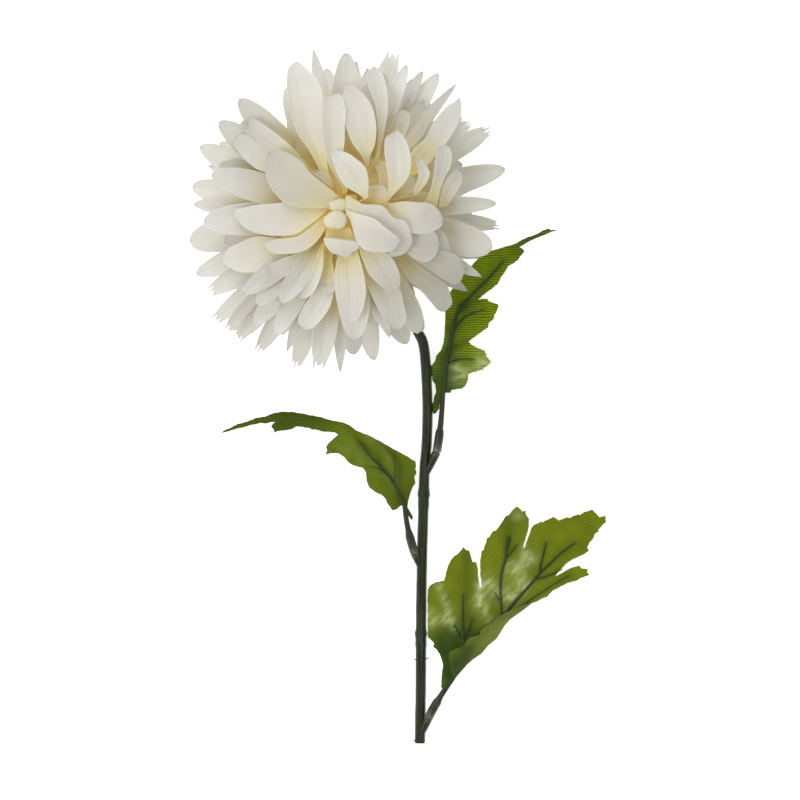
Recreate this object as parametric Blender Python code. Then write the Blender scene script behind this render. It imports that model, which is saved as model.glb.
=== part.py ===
"""Artificial pompon chrysanthemum: one cut stem that lies on a table with its bloom facing up.

Lengths below are millimetres, and MM turns them into Blender's metres. +Z is up and +Y runs from the cut
end towards the bloom. The origin is the middle of the bounding box's bottom face, so z = 0 is the table.
"""

import math
import random
from collections import namedtuple

import bmesh
import bpy
from mathutils import Vector
from mathutils.geometry import delaunay_2d_cdt

MM = 0.001
GAP = 0.3

# Bloom
BLOOM_X, BLOOM_Y = -26.5, 85.0
HUB_HEIGHT = 33.0
HUB_RADIUS = 11.0
DOME_RADIUS = 76.0
DOME_RISE = 0.72
PETAL_THICKNESS = 0.65
PETAL_CUP = 0.3
GOLDEN_ANGLE = 137.508
UNDER_PETALS = 22
BACK_PETALS = 46
BACK_REACH = 65.0
BACK_OFFSET = 4.0
SEED = 11

# Calyx and the peg that the bloom sits on
CALYX_BOTTOM = 17.5
CALYX_WALL = 0.9
PEG_RADIUS = 1.8
PEG_TOP = 26.0

# Stem
STEM_RADIUS = 2.25
STEM_SIDES = 10
NODE_RING = 0.35
BORE_RADIUS = 1.1
WIRE_RADIUS = 0.8

# Leaves and their stalks
LEAF_THICKNESS = 0.65
LEAF_GRID = 7.0
SOCKET_RADIUS = 1.9
SOCKET_DEPTH = 3.3
STUB_PEG_RADIUS = 0.85
STUB_PEG_LENGTH = 3.0
STALK_SIDES = 8

# Along the stem's middle: x, y, z
STEM_ROUTE = (
    (9.0, -155.9, 2.3),
    (9.4, -130.0, 2.6),
    (9.5, -106.0, 2.9),
    (9.9, -75.0, 3.4),
    (10.8, -43.0, 4.1),
    (11.2, -31.0, 4.3),
    (12.2, -17.5, 4.7),
    (12.4, 0.5, 5.2),
    (11.0, 23.0, 5.8),
    (8.0, 31.0, 6.1),
    (1.0, 43.0, 6.6),
    (-9.0, 58.0, 7.0),
    (-19.5, 74.0, 7.2),
    (-24.6, 82.0, 8.8),
    (-26.5, 85.0, 13.5),
)
STEM_NODES_Y = (-106.0, -43.0)

Petal = namedtuple("Petal", "azimuth swing reach width shoulder tip stations")
Leaf = namedtuple("Leaf", "outline midrib")

# Front petals, each placed as it lies: where its tip points (degrees from +X), how far the tip swings off
# its root (degrees), the tip's reach from the axis, the width, and how far the tip stands off the dome
FRONT_PETALS = (
    (89, 40, 24, 14, 4), (56, 40, 41, 11.5, 6), (32, 20, 41, 8, 4), (32, 26, 53, 10.5, 2),
    (354, -8, 43, 12.5, 3), (332, -30, 35, 15.5, 1), (318, -18, 30, 14, 7), (330, -10, 45, 11.5, 0),
    (334, -6, 50, 8, -3), (329, 5, 60, 11.5, 0), (316, 2, 64, 12.5, 0), (299, 6, 43, 14, 3),
    (295, 6, 58, 10.5, 2), (301, -12, 64, 9, 0), (274, -4, 51, 10.5, 4), (275, -3, 59, 11.5, 0),
    (291, 0, 60, 9, -3), (245, 2, 44, 8, 6), (252, -5, 56, 10, 2), (262, -2, 71, 9.5, -2),
    (270, 3, 71, 8, -6), (220, -13, 44, 9.5, 2), (202, -17, 57, 12, 0), (206, -25, 38, 9, 4),
    (184, -5, 47, 13.5, 2), (150, 4, 38, 18, 5), (136, 9, 56, 11, 0), (134, 3, 65, 11.5, 0),
    (108, -7, 69, 14, 3), (100, 6, 71, 9, -4), (94, -8, 50, 10, 6), (87, 22, 55, 14, 3),
    (90, 3, 68, 10.5, 0), (78, 18, 65, 9, 4), (74, 13, 73, 10, -2), (65, 14, 69, 8, 3),
    (62, 13, 71, 7, -3), (56, 14, 73, 9, 2), (44, 7, 71, 10.5, 2), (34, 3, 69, 7, -4),
    (30, 9, 75, 9, 2), (14, 0, 73, 11, 0), (2, 0, 67, 8, 2), (345, -11, 67, 14, 0),
    (354, 0, 69, 7, -5), (333, -8, 67, 10, -4), (144, -7, 65, 11.5, 0), (145, -11, 56, 10.5, 3),
    (156, -1, 67, 11.5, -2), (166, -5, 59, 12.5, 2), (171, -6, 65, 10.5, -3), (178, -3, 64, 8, -8),
    (184, -10, 60, 13.5, 1), (193, -4, 67, 15, -5), (204, -3, 69, 10, -6), (212, -12, 69, 9, -3),
    (219, -12, 56, 9, 2), (228, -11, 56, 9, 1), (221, -2, 75, 8, -7), (226, -10, 74, 9, -4),
    (231, -7, 74, 8, -6), (233, -10, 64, 9.5, 0), (239, -7, 73, 8, -6), (243, -6, 62, 9.5, 0),
    (249, -5, 66, 9, -3), (254, -3, 73, 8, -6), (270, 0, 19, 14, -3), (150, -10, 20, 9, -9),
    (205, 12, 21, 9, -10), (20, 8, 24, 10, -8),
)
# The two rolled buds at the centre: x and y from the axis, radius, top
BUDS = ((-1.8, 1.6, 4.4, 72.0), (-2.9, -5.2, 5.2, 74.0))
BUD_SIDES = 8
# Share of a petal's length and of its width there
FRONT_STATIONS = ((0.0, 0.34), (0.4, 0.7), (0.74, 1.0), (0.95, 0.62))
HIDDEN_STATIONS = ((0.0, 0.34), (0.64, 1.0), (0.93, 0.68))

# Left leaf: outline x, y, then its midrib as x, y, z and how steeply the left and right halves fall away
LEAF_LEFT = Leaf(
    outline=(
        (2.4, -48.6), (5, -54), (3.4, -47.5), (4.5, -42.5), (7, -37.5), (7.2, -33), (7, -28), (-2, -23),
        (-10.5, -18), (-20, -13.5), (-24.5, -11), (-34.5, -9), (-48, -5.5), (-52, -6), (-58, -6.5),
        (-65, -8), (-73.5, -11), (-82, -15), (-75, -13.5), (-67.5, -11.8), (-60.5, -10.7),
        (-56.5, -10), (-58, -12.5), (-57, -15), (-50.5, -13.5), (-45, -12.5), (-35.5, -14), (-28.5, -16),
        (-33.5, -21.5), (-34, -25), (-28, -24.5), (-25, -27), (-20.5, -29.5), (-16, -31.5),
        (-15, -36.5), (-12.5, -41), (-7, -45), (-3.5, -50), (0.5, -48),
    ),
    midrib=(
        (2, -48, 9.5, -0.3, -0.3), (-2, -39, 13, -0.35, -0.3), (-7.5, -31.5, 16.5, -0.4, -0.4),
        (-13.5, -25.5, 19, -0.45, -0.5), (-18, -19.5, 20.5, -0.5, -0.6), (-24, -13, 20.5, -0.7, -0.8),
        (-34.5, -10.2, 18, -1.0, -1.0), (-48, -7.5, 13.5, -1.0, -0.9), (-58, -8, 9.5, -0.8, -0.7),
        (-70, -11, 4.8, -0.5, -0.5), (-82, -15, 1.2, -0.3, -0.3),
    ),
)
LEAF_UPPER = Leaf(
    outline=(
        (19.5, 1.5), (17.6, -2), (15.8, -6), (16, 0), (16.2, 4), (15.6, 10), (15.4, 15), (17.4, 21),
        (19.5, 23.5), (20, 30), (20, 39.5), (26, 51), (33, 61.5), (35.5, 65.5), (40, 66.5), (46, 69),
        (52, 71), (67, 78), (71.5, 77), (62, 73), (55, 70), (56, 67.5), (49.5, 62), (46, 56.5),
        (42.5, 52), (35.5, 46), (39.5, 46), (45, 43.5), (43, 37.5), (40, 34), (31, 27), (37.5, 23),
        (41.5, 18), (38, 14), (31.5, 12), (30.5, 7.5), (27.5, 5), (23, 4.5), (20.6, 2.5),
    ),
    midrib=(
        (19.5, 2, 6.6, -0.3, -0.1), (21, 15.5, 7.6, -0.4, -0.1), (23.5, 30, 8.2, -0.5, -0.12),
        (26.5, 40.5, 8, -0.5, -0.15), (32, 47, 7.4, -0.4, -0.15), (40, 55, 6.2, -0.35, -0.2),
        (47, 63, 5, -0.3, -0.3), (55, 71.5, 3.4, -0.3, -0.3), (71, 77.3, 1.2, -0.3, -0.3),
    ),
)
LEAF_LOWER = Leaf(
    outline=(
        (23, -126.6), (19, -130.5), (18, -127), (18.5, -122), (15, -112), (12.9, -106.5), (12.9, -84),
        (19.5, -81.5), (22.5, -73), (29, -66.5), (34.5, -73.5), (36.2, -83.5), (36.3, -73), (39, -62.5),
        (42, -59), (48, -52.5), (52.5, -48), (56.5, -50), (58.5, -54.5), (56, -66.5), (59.5, -57.5),
        (63.5, -55), (69.5, -53), (71.5, -54), (80, -52), (87.5, -49.5), (90, -52.5), (92.5, -52.5),
        (92.5, -56), (88, -62.5), (84.5, -66.5), (85, -68.5), (76.5, -73), (70, -80), (81, -75),
        (85, -79), (82, -80), (72, -84.5), (62, -91), (58, -93.5), (49.5, -99), (43, -106.5),
        (35.5, -114.5), (30, -119), (25.2, -125),
    ),
    midrib=(
        (24, -126, 8.0, 0.0, 0.0), (35, -108, 10.5, 0.06, 0.1), (45.5, -97, 12.5, 0.07, 0.15),
        (61, -81, 13.5, 0.03, 0.05), (79, -65.5, 9.5, 0.0, -0.1), (92.5, -54, 4.5, -0.1, -0.1),
    ),
)
# The lower leaf's right half is folded back over its base: the crease, then the flap's free edge
FLAP_CREASE = ((33, -115.8), (35, -114), (42.5, -106.2), (49, -98.8), (57.6, -93))
FLAP_EDGE = ((57, -90.8), (50.5, -94.2), (43, -99.6), (36, -104.6), (31, -109.5))
FLAP_RISE = 8.0
FLAP_CURL = 3.0

# Stubs on the stem: from its middle to the shoulder where a stalk plugs on
STUBS = {
    "left": ((9.9, -77.5, 3.4), (9.0, -74.5, 4.0), (6.6, -69.5, 5.6)),
    "upper": ((11.1, -34.5, 4.2), (13.2, -30.5, 5.2), (16.6, -23.6, 7.0)),
    "lower": ((9.1, -152.3, 2.6), (10.6, -149.2, 3.3), (12.9, -144.3, 4.8)),
}
# Stalks beyond the stubs, up to the leaf's base
STALKS = {
    "left": ((4.4, -61.8, 8.2), (2.9, -54.5, 10.6)),
    "upper": ((17.9, -15.5, 8.4), (18.7, -8.5, 8.9)),
    "lower": ((15.4, -139.4, 6.4), (19.2, -133.0, 8.8)),
}
# Ribs over each blade: the midrib first, then its branches, with a start and an end radius
RIBS = {
    "left": (
        (0.9, 0.35, ((2, -48), (-2, -39), (-7.5, -31.5), (-13.5, -25.5), (-18, -19.5), (-24, -13),
                     (-34.5, -10.2), (-48, -7.5), (-58, -8))),
        (0.45, 0.3, ((-2, -39), (-3, -28), (-4.5, -22.5))),
        (0.45, 0.3, ((-7.5, -31.5), (-11.5, -32.5), (-14.5, -32.5))),
    ),
    "upper": (
        (0.9, 0.35, ((19.5, 2), (21, 15.5), (23.5, 30), (26.5, 40.5), (32, 47), (40, 55), (47, 63))),
        (0.45, 0.3, ((21.2, 16.5), (27, 18.5), (34, 18.5))),
        (0.45, 0.3, ((24, 32), (30, 38), (38, 41))),
    ),
    "lower": (
        (0.9, 0.35, ((24, -126), (29.5, -116), (35, -108), (45.5, -97), (54, -88.5), (61, -81),
                     (67.5, -74.5), (79, -65.5))),
        (0.5, 0.3, ((28.8, -117.5), (28.5, -106), (28.5, -97), (28.5, -88))),
        (0.4, 0.3, ((28.5, -107), (24, -101))),
        (0.4, 0.3, ((28.5, -107), (33, -99.5))),
        (0.5, 0.3, ((45.5, -97), (45.5, -82), (47, -69), (49, -62))),
        (0.4, 0.3, ((46.8, -71), (52, -66.5))),
        (0.45, 0.3, ((62.5, -79.5), (64, -72), (65.5, -65))),
        (0.45, 0.3, ((59.5, -82.5), (66, -80.5), (72, -77.5))),
    ),
}
LEAVES = {"left": LEAF_LEFT, "upper": LEAF_UPPER, "lower": LEAF_LOWER}


def clear_scene():
    for item in list(bpy.data.objects):
        bpy.data.objects.remove(item, do_unlink=True)


def make_material(name, colour, roughness, metallic=0.0):
    material = bpy.data.materials.new(name)
    material.use_nodes = True
    principled = material.node_tree.nodes["Principled BSDF"]
    principled.inputs["Base Color"].default_value = (*colour, 1.0)
    principled.inputs["Roughness"].default_value = roughness
    principled.inputs["Metallic"].default_value = metallic
    material.diffuse_color = (*colour, 1.0)
    return material


def make_object(name, points, faces):
    """An object from points in millimetres."""
    mesh = bpy.data.meshes.new(name)
    mesh.from_pydata([tuple(Vector(point) * MM) for point in points], [], faces)
    item = bpy.data.objects.new(name, mesh)
    bpy.context.scene.collection.objects.link(item)
    return item


def finish(item, material):
    item.data.materials.clear()
    item.data.materials.append(material)
    item.data.shade_smooth()
    item.data.set_sharp_from_angle(angle=math.radians(35))
    return item


def combine(base, pieces, operation):
    """One Boolean of a base with a whole collection of pieces, applied, and the pieces removed."""
    collection = bpy.data.collections.new(base.name + "_pieces")
    bpy.context.scene.collection.children.link(collection)
    for piece in pieces:
        bpy.context.scene.collection.objects.unlink(piece)
        collection.objects.link(piece)
    modifier = base.modifiers.new(operation.title(), "BOOLEAN")
    modifier.operation = operation
    modifier.operand_type = "COLLECTION"
    modifier.collection = collection
    modifier.solver = "MANIFOLD"
    bpy.context.view_layer.objects.active = base
    bpy.ops.object.modifier_apply(modifier=modifier.name)
    for piece in pieces:
        bpy.data.objects.remove(piece, do_unlink=True)
    bpy.data.collections.remove(collection)


def keep_outer_shell(item):
    """Fills the small hollows that fusing seals and drops loose scraps: only the widest shell stays."""
    mesh = bmesh.new()
    mesh.from_mesh(item.data)
    left = set(mesh.verts)
    shells = []
    while left:
        shell = set()
        edge_of_growth = [left.pop()]
        while edge_of_growth:
            point = edge_of_growth.pop()
            shell.add(point)
            for edge in point.link_edges:
                other = edge.other_vert(point)
                if other in left:
                    left.remove(other)
                    edge_of_growth.append(other)
        shells.append(shell)
    shells.sort(key=len)
    for shell in shells[:-1]:
        bmesh.ops.delete(mesh, geom=list(shell), context="VERTS")
    mesh.to_mesh(item.data)
    mesh.free()


def smooth_route(points, step):
    """Points along a Catmull-Rom curve through the route's own points, about a step apart."""
    points = [Vector(point) for point in points]
    ends = [points[0] * 2 - points[1], *points, points[-1] * 2 - points[-2]]
    route = []
    for before, start, end, after in zip(ends, ends[1:], ends[2:], ends[3:]):
        pieces = max(1, round((end - start).length / step))
        for index in range(pieces):
            t = index / pieces
            route.append(
                0.5 * (2 * start + (end - before) * t
                       + (2 * before - 5 * start + 4 * end - after) * t ** 2
                       + (3 * start - before - 3 * end + after) * t ** 3)
            )
    return route + [points[-1]]


def tube(name, route, radii, sides):
    """A closed tube of the given radius at each point of its route, with flat ends."""
    count = len(route)
    rings = []
    is_upright = abs((route[1] - route[0]).normalized().z) > 0.9
    side = Vector((1, 0, 0)) if is_upright else Vector((0, 0, 1))
    for index, middle in enumerate(route):
        ahead = route[min(index + 1, count - 1)] - route[max(index - 1, 0)]
        ahead = Vector(ahead).normalized()
        side = (side - ahead * side.dot(ahead)).normalized()
        other = ahead.cross(side)
        angles = [math.tau * step / sides for step in range(sides)]
        rings.append([
            middle + radii[index] * (side * math.cos(angle) + other * math.sin(angle)) for angle in angles
        ])
    points = [point for ring in rings for point in ring]
    faces = [tuple(reversed(range(sides))), tuple(range((count - 1) * sides, count * sides))]
    for ring in range(count - 1):
        for step in range(sides):
            following = (step + 1) % sides
            first, second = ring * sides, (ring + 1) * sides
            faces.append((first + step, first + following, second + following, second + step))
    return make_object(name, points, faces)


def turned(name, profile, sides, middle):
    """A closed ring turned about a vertical axis from a profile of (radius, height) points."""
    points = []
    for step in range(sides):
        angle = math.tau * step / sides
        points += [
            (middle[0] + radius * math.cos(angle), middle[1] + radius * math.sin(angle), height)
            for radius, height in profile
        ]
    size = len(profile)
    faces = []
    for step in range(sides):
        following = (step + 1) % sides
        for index in range(size):
            after = (index + 1) % size
            faces.append((
                step * size + index, step * size + after, following * size + after, following * size + index
            ))
    return make_object(name, points, faces)


def nearest_on(line, x, y):
    """(distance, side, row): how far a point is from a line, on which side, and the line's row there."""
    best = None
    place = Vector((x, y))
    for start, end in zip(line, line[1:]):
        first, second = Vector(start[:2]), Vector(end[:2])
        along = second - first
        share = min(1.0, max(0.0, (place - first).dot(along) / along.length_squared))
        offset = place - (first + along * share)
        if best is None or offset.length < best[0]:
            side = 1.0 if along.cross(offset) >= 0 else -1.0
            row = [a + (b - a) * share for a, b in zip(start, end)]
            best = (offset.length, side, row)
    return best


def leaf_height(leaf, x, y):
    """The blade's middle surface: it falls or rises away from its midrib, with a soft crease there."""
    distance, side, row = nearest_on(leaf.midrib, x, y)
    slope = row[3] if side > 0 else row[4]
    eased = math.sqrt(distance ** 2 + 1.0) - 1.0
    lowest = LEAF_THICKNESS / 2 + 0.35
    return max(lowest, row[2] + slope * eased)


def flap_height(x, y):
    distance = nearest_on(FLAP_CREASE, x, y)[0]
    return leaf_height(LEAF_LOWER, x, y) - 0.1 + FLAP_RISE * (1.0 - math.exp(-distance / FLAP_CURL))


def is_inside(outline, x, y):
    inside = False
    for (x1, y1), (x2, y2) in zip(outline, outline[1:] + outline[:1]):
        if (y1 > y) != (y2 > y) and x < x1 + (y - y1) * (x2 - x1) / (y2 - y1):
            inside = not inside
    return inside


def blade(name, outline, crease, height):
    """A thin sheet of constant thickness over an outline, split into triangles alike on both faces."""
    corners = [Vector(point) for point in outline]
    faces = [tuple(range(len(corners)))]
    edges = []
    inner = [point for point in crease if is_inside(outline, *point)]
    if len(inner) > 1:
        edges = [(len(corners) + index, len(corners) + index + 1) for index in range(len(inner) - 1)]
    corners += [Vector(point) for point in inner]
    left, right = min(x for x, _ in outline), max(x for x, _ in outline)
    low, high = min(y for _, y in outline), max(y for _, y in outline)
    border = outline + outline[:1]
    for row in range(int((high - low) / LEAF_GRID) + 1):
        for column in range(int((right - left) / LEAF_GRID) + 1):
            x = left + LEAF_GRID * (column + 0.5 * (row % 2))
            y = low + LEAF_GRID * row
            if not is_inside(outline, x, y) or nearest_on(border, x, y)[0] < LEAF_GRID * 0.4:
                continue
            if len(inner) > 1 and nearest_on(inner, x, y)[0] < LEAF_GRID * 0.4:
                continue
            corners.append(Vector((x, y)))
    flat, _, triangles, *_ = delaunay_2d_cdt(corners, edges, faces, 1, 1e-5)
    return thicken(name, flat, [tuple(triangle) for triangle in triangles], height)


def thicken(name, flat, triangles, height):
    """Lifts flat triangles to a height and gives them both faces and a rim."""
    nudge = 0.4
    upper, lower = [], []
    for x, y in flat:
        slope_x = (height(x + nudge, y) - height(x - nudge, y)) / (2 * nudge)
        slope_y = (height(x, y + nudge) - height(x, y - nudge)) / (2 * nudge)
        normal = Vector((-slope_x, -slope_y, 1.0)).normalized()
        middle = Vector((x, y, height(x, y)))
        upper.append(middle + normal * LEAF_THICKNESS / 2)
        lower.append(middle - normal * LEAF_THICKNESS / 2)
    count = len(flat)
    faces = list(triangles)
    faces += [tuple(count + index for index in reversed(triangle)) for triangle in triangles]
    sides = {edge for a, b, c in triangles for edge in ((a, b), (b, c), (c, a))}
    faces += [(b, a, count + a, count + b) for a, b in sides if (b, a) not in sides]
    return make_object(name, upper + lower, faces)


def rib_point(leaf, x, y, radius):
    """Where a rib's middle lies so that it clears the blade under it by the gap."""
    around = radius + GAP
    heights = [
        leaf_height(leaf, x + around * math.cos(angle), y + around * math.sin(angle))
        for angle in (math.tau * step / 8 for step in range(8))
    ]
    heights.append(leaf_height(leaf, x, y))
    return Vector((x, y, max(heights) + LEAF_THICKNESS / 2 + GAP + radius))


def rib_route(leaf, points, first, last):
    """The route of a rib over its blade, and the radius at each point."""
    flat = smooth_route([(x, y, 0.0) for x, y in points], 5.0)
    radii = [first + (last - first) * index / (len(flat) - 1) for index in range(len(flat))]
    return [rib_point(leaf, point.x, point.y, radius) for point, radius in zip(flat, radii)], radii


def make_stem():
    """The moulded stem with its stubs, the bore for its wire, and the peg at its top."""
    route = smooth_route(STEM_ROUTE, 11.0)
    radii = [stem_radius(point) for point in route]
    for height, radius in ((CALYX_BOTTOM - GAP, STEM_RADIUS), (CALYX_BOTTOM - GAP + 0.05, PEG_RADIUS),
                           (PEG_TOP, PEG_RADIUS)):
        route.append(Vector((BLOOM_X, BLOOM_Y, height)))
        radii.append(radius)
    stem = tube("stem", route, radii, STEM_SIDES)
    combine(stem, [make_stub(side, points) for side, points in STUBS.items()], "UNION")
    core = smooth_route(STEM_ROUTE, 11.0)
    mouth = core[0] * 2 - core[1]
    combine(stem, [tube("bore", [mouth, *core], [BORE_RADIUS] * (len(core) + 1), 6)], "DIFFERENCE")
    return stem


def stem_radius(point):
    """A moulding ring stands out a little at each node, and the stem thins towards the bloom."""
    near = min(abs(point.y - node) for node in STEM_NODES_Y)
    ring = NODE_RING if near < 3.0 else 0.0
    return STEM_RADIUS + ring


def make_stub(side, points):
    """A side stub with the thin peg that a leaf stalk plugs on."""
    route = [Vector(point) for point in points]
    ahead = (route[-1] - route[-2]).normalized()
    route += [route[-1] + ahead * 0.05, route[-1] + ahead * STUB_PEG_LENGTH]
    radii = [1.5, 1.8, SOCKET_RADIUS - 0.1, STUB_PEG_RADIUS, STUB_PEG_RADIUS]
    return tube("stub_" + side, route, radii, STALK_SIDES)


def make_wire():
    """The wire inside the stem. It follows the bore, and its end shows at the cut."""
    core = smooth_route(STEM_ROUTE, 11.0)
    core[-1] = core[-1] + (core[-2] - core[-1]).normalized() * 1.0
    return tube("stem_wire", core, [WIRE_RADIUS] * len(core), 6)


def make_petiole(side):
    """A leaf's stalk: the socket over its stub, then the midrib and side ribs over the blade."""
    leaf = LEAVES[side]
    stub = [Vector(point) for point in STUBS[side]]
    ahead = (stub[-1] - stub[-2]).normalized()
    mouth = stub[-1] + ahead * GAP
    socket_end = mouth + ahead * (SOCKET_DEPTH + 1.0)
    first, last, points = RIBS[side][0]
    rib, radii = rib_route(leaf, points, first, last)
    stalk = smooth_route([socket_end, *STALKS[side], rib[0]], 5.0)
    stalk_radii = [1.7 + (first - 1.7) * index / (len(stalk) - 1) for index in range(len(stalk))]
    route = [mouth, *stalk, *rib[1:]]
    petiole = tube("petiole_" + side, route, [SOCKET_RADIUS, *stalk_radii, *radii[1:]], STALK_SIDES)
    branches = []
    for number, (first, last, points) in enumerate(RIBS[side][1:]):
        branch, branch_radii = rib_route(leaf, points, first, last)
        branches.append(tube(f"branch_{number}", branch, branch_radii, 5))
    combine(petiole, branches, "UNION")
    bore = [mouth - ahead * 1.0, mouth + ahead * SOCKET_DEPTH]
    combine(petiole, [tube("socket", bore, [STUB_PEG_RADIUS + GAP] * 2, STALK_SIDES)], "DIFFERENCE")
    return petiole


def make_leaf(side):
    """A fabric blade. The lower one has its right half folded back over the base."""
    leaf = LEAVES[side]
    crease = [row[:2] for row in leaf.midrib]
    item = blade("leaf_" + side, leaf.outline, crease, lambda x, y: leaf_height(leaf, x, y))
    if side == "lower":
        combine(item, [blade("flap", FLAP_CREASE + FLAP_EDGE, (), flap_height)], "UNION")
    return item


def make_calyx():
    """The green cup behind the bloom: a wall round the hub's underside, with a hole for the stem's peg."""
    hole = PEG_RADIUS + GAP
    cup = HUB_RADIUS + GAP
    inner = [(radius, HUB_HEIGHT - math.sqrt(cup ** 2 - radius ** 2)) for radius in (hole, 5.0, 8.0, 9.6)]
    outer = [(9.6 + CALYX_WALL, inner[-1][1] + 0.2), (8.4, 22.0), (5.2, 19.2), (3.6, CALYX_BOTTOM)]
    return turned("calyx", [(hole, CALYX_BOTTOM), *inner, *outer], 14, (BLOOM_X, BLOOM_Y))


def dome(reach):
    return HUB_HEIGHT + DOME_RISE * math.sqrt(max(0.0, DOME_RADIUS ** 2 - reach ** 2))


def front_petals():
    for azimuth, swing, reach, width, lift in FRONT_PETALS:
        tip = dome(reach) + lift
        shoulder = HUB_HEIGHT + 0.9 * (tip - HUB_HEIGHT) + 3.0
        yield Petal(azimuth, swing, reach, width, shoulder, tip, FRONT_STATIONS)


def under_petals(draw):
    """Petals lower in the dome, which close the gaps between the front ones."""
    for index in range(UNDER_PETALS):
        reach = 24.0 + 42.0 * math.sqrt(index / UNDER_PETALS)
        tip = HUB_HEIGHT + 0.72 * (dome(reach) - HUB_HEIGHT) + draw.uniform(-2, 2)
        shoulder = HUB_HEIGHT + 0.8 * (tip - HUB_HEIGHT) + 2.0
        azimuth = GOLDEN_ANGLE * index + draw.uniform(-6, 6)
        yield Petal(azimuth, draw.uniform(-6, 6), reach, draw.uniform(11, 14), shoulder, tip, HIDDEN_STATIONS)


def back_petals(draw):
    """Reflexed petals from the bloom's edge down its back, the last of which lie on the table."""
    for index in range(BACK_PETALS):
        share = index / (BACK_PETALS - 1)
        tip = 46.0 - 52.0 * share
        azimuth = GOLDEN_ANGLE * (index + 0.5) + draw.uniform(-4, 4)
        reach = BACK_REACH + BACK_OFFSET * math.cos(math.radians(azimuth)) + draw.uniform(-2.5, 1.5)
        shoulder = HUB_HEIGHT + 8.0 - 10.0 * share
        yield Petal(azimuth, draw.uniform(-6, 6), reach, draw.uniform(11, 14), shoulder, tip, HIDDEN_STATIONS)


def petal_azimuth(petal, along):
    return math.radians(petal.azimuth - petal.swing * max(0.0, 1 - along) ** 1.5)


def petal_middle(petal, along):
    """The petal's middle line: from inside the hub, over its shoulder, to the tip."""
    first, second, third = (1 - along) ** 2, 2 * along * (1 - along), along ** 2
    root = HUB_HEIGHT + 0.12 * (petal.shoulder - HUB_HEIGHT)
    reach = first * 4.0 + second * 0.42 * petal.reach + third * petal.reach
    height = first * root + second * petal.shoulder + third * petal.tip
    azimuth = petal_azimuth(petal, along)
    return Vector((
        BLOOM_X + reach * math.cos(azimuth), BLOOM_Y + reach * math.sin(azimuth), height
    ))


def clear_height(x, y):
    """The lowest that a petal may be: the table, the stem's back, or the leaf behind the bloom."""
    distance, _, row = nearest_on(STEM_ROUTE[8:], x, y)
    over_stem = row[2] + STEM_RADIUS + 1.2 - max(0.0, distance - STEM_RADIUS - 0.8)
    distance, _, row = nearest_on(LEAF_UPPER.midrib, x, y)
    over_leaf = row[2] + 3.2 - 0.45 * max(0.0, distance - 7.0)
    if distance > 16.0:
        over_leaf = 0.0
    return max(0.0, over_stem, over_leaf)


def make_petal(petal, number):
    """One blade: a cupped tongue with a centre fold, thick enough to hold, its root inside the hub."""
    upper, lower = [], []
    for along, share in (*petal.stations, (1.0, 0.0)):
        middle = petal_middle(petal, along)
        ahead = (petal_middle(petal, along + 0.02) - petal_middle(petal, along - 0.02)).normalized()
        azimuth = petal_azimuth(petal, along)
        side = Vector((-math.sin(azimuth), math.cos(azimuth), 0.0))
        side = (side - ahead * side.dot(ahead)).normalized()
        normal = ahead.cross(side)
        half = share * petal.width / 2
        for across in (-1, 0, 1) if share else (0,):
            point = middle + side * half * across + normal * PETAL_CUP * half * abs(across)
            top = point + normal * PETAL_THICKNESS / 2
            bottom = point - normal * PETAL_THICKNESS / 2
            rise = max(0.0, clear_height(point.x, point.y) - min(top.z, bottom.z))
            upper.append(top + Vector((0, 0, rise)))
            lower.append(bottom + Vector((0, 0, rise)))
    return make_object(f"petal_{number:03d}", upper + lower, petal_faces(len(petal.stations), len(upper)))


def petal_faces(rows, count):
    """Faces of a petal whose rows hold three points and whose tip holds one, alike on top and below."""
    triangles = []
    for row in range(rows - 1):
        for column in range(2):
            a = row * 3 + column
            triangles += [(a, a + 3, a + 4), (a, a + 4, a + 1)]
    last, tip = (rows - 1) * 3, count - 1
    triangles += [(last, tip, last + 1), (last + 1, tip, last + 2)]
    faces = list(triangles)
    faces += [tuple(count + index for index in reversed(triangle)) for triangle in triangles]
    sides = {edge for a, b, c in triangles for edge in ((a, b), (b, c), (c, a))}
    faces += [(b, a, count + a, count + b) for a, b in sides if (b, a) not in sides]
    return faces


def make_bud(number, x, y, radius, top):
    """A tightly rolled petal standing on the hub, closed over at its top."""
    shape = ((0.0, 0.5), (0.5, 0.62), (0.82, 1.0), (0.94, 0.82), (1.0, 0.3))
    route = [
        Vector((BLOOM_X + x * share, BLOOM_Y + y * share, HUB_HEIGHT + (top - HUB_HEIGHT) * share))
        for share, _ in shape
    ]
    return tube(f"bud_{number}", route, [radius * size for _, size in shape], BUD_SIDES)


def make_bloom():
    """All petals and buds fused to the hub that they grow from, and the socket for the stem's peg."""
    draw = random.Random(SEED)
    petals = [*front_petals(), *under_petals(draw), *back_petals(draw)]
    pieces = [make_petal(petal, number) for number, petal in enumerate(petals)]
    pieces += [make_bud(number, *bud) for number, bud in enumerate(BUDS)]
    bpy.ops.mesh.primitive_ico_sphere_add(
        subdivisions=2, radius=HUB_RADIUS * MM, location=(BLOOM_X * MM, BLOOM_Y * MM, HUB_HEIGHT * MM)
    )
    bloom = bpy.context.object
    bloom.name = "bloom"
    combine(bloom, pieces, "UNION")
    keep_outer_shell(bloom)
    bottom = Vector((BLOOM_X, BLOOM_Y, HUB_HEIGHT - HUB_RADIUS - 2.0))
    top = Vector((BLOOM_X, BLOOM_Y, PEG_TOP + GAP))
    combine(bloom, [tube("socket", [bottom, top], [PEG_RADIUS + GAP] * 2, STEM_SIDES)], "DIFFERENCE")
    return bloom


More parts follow.
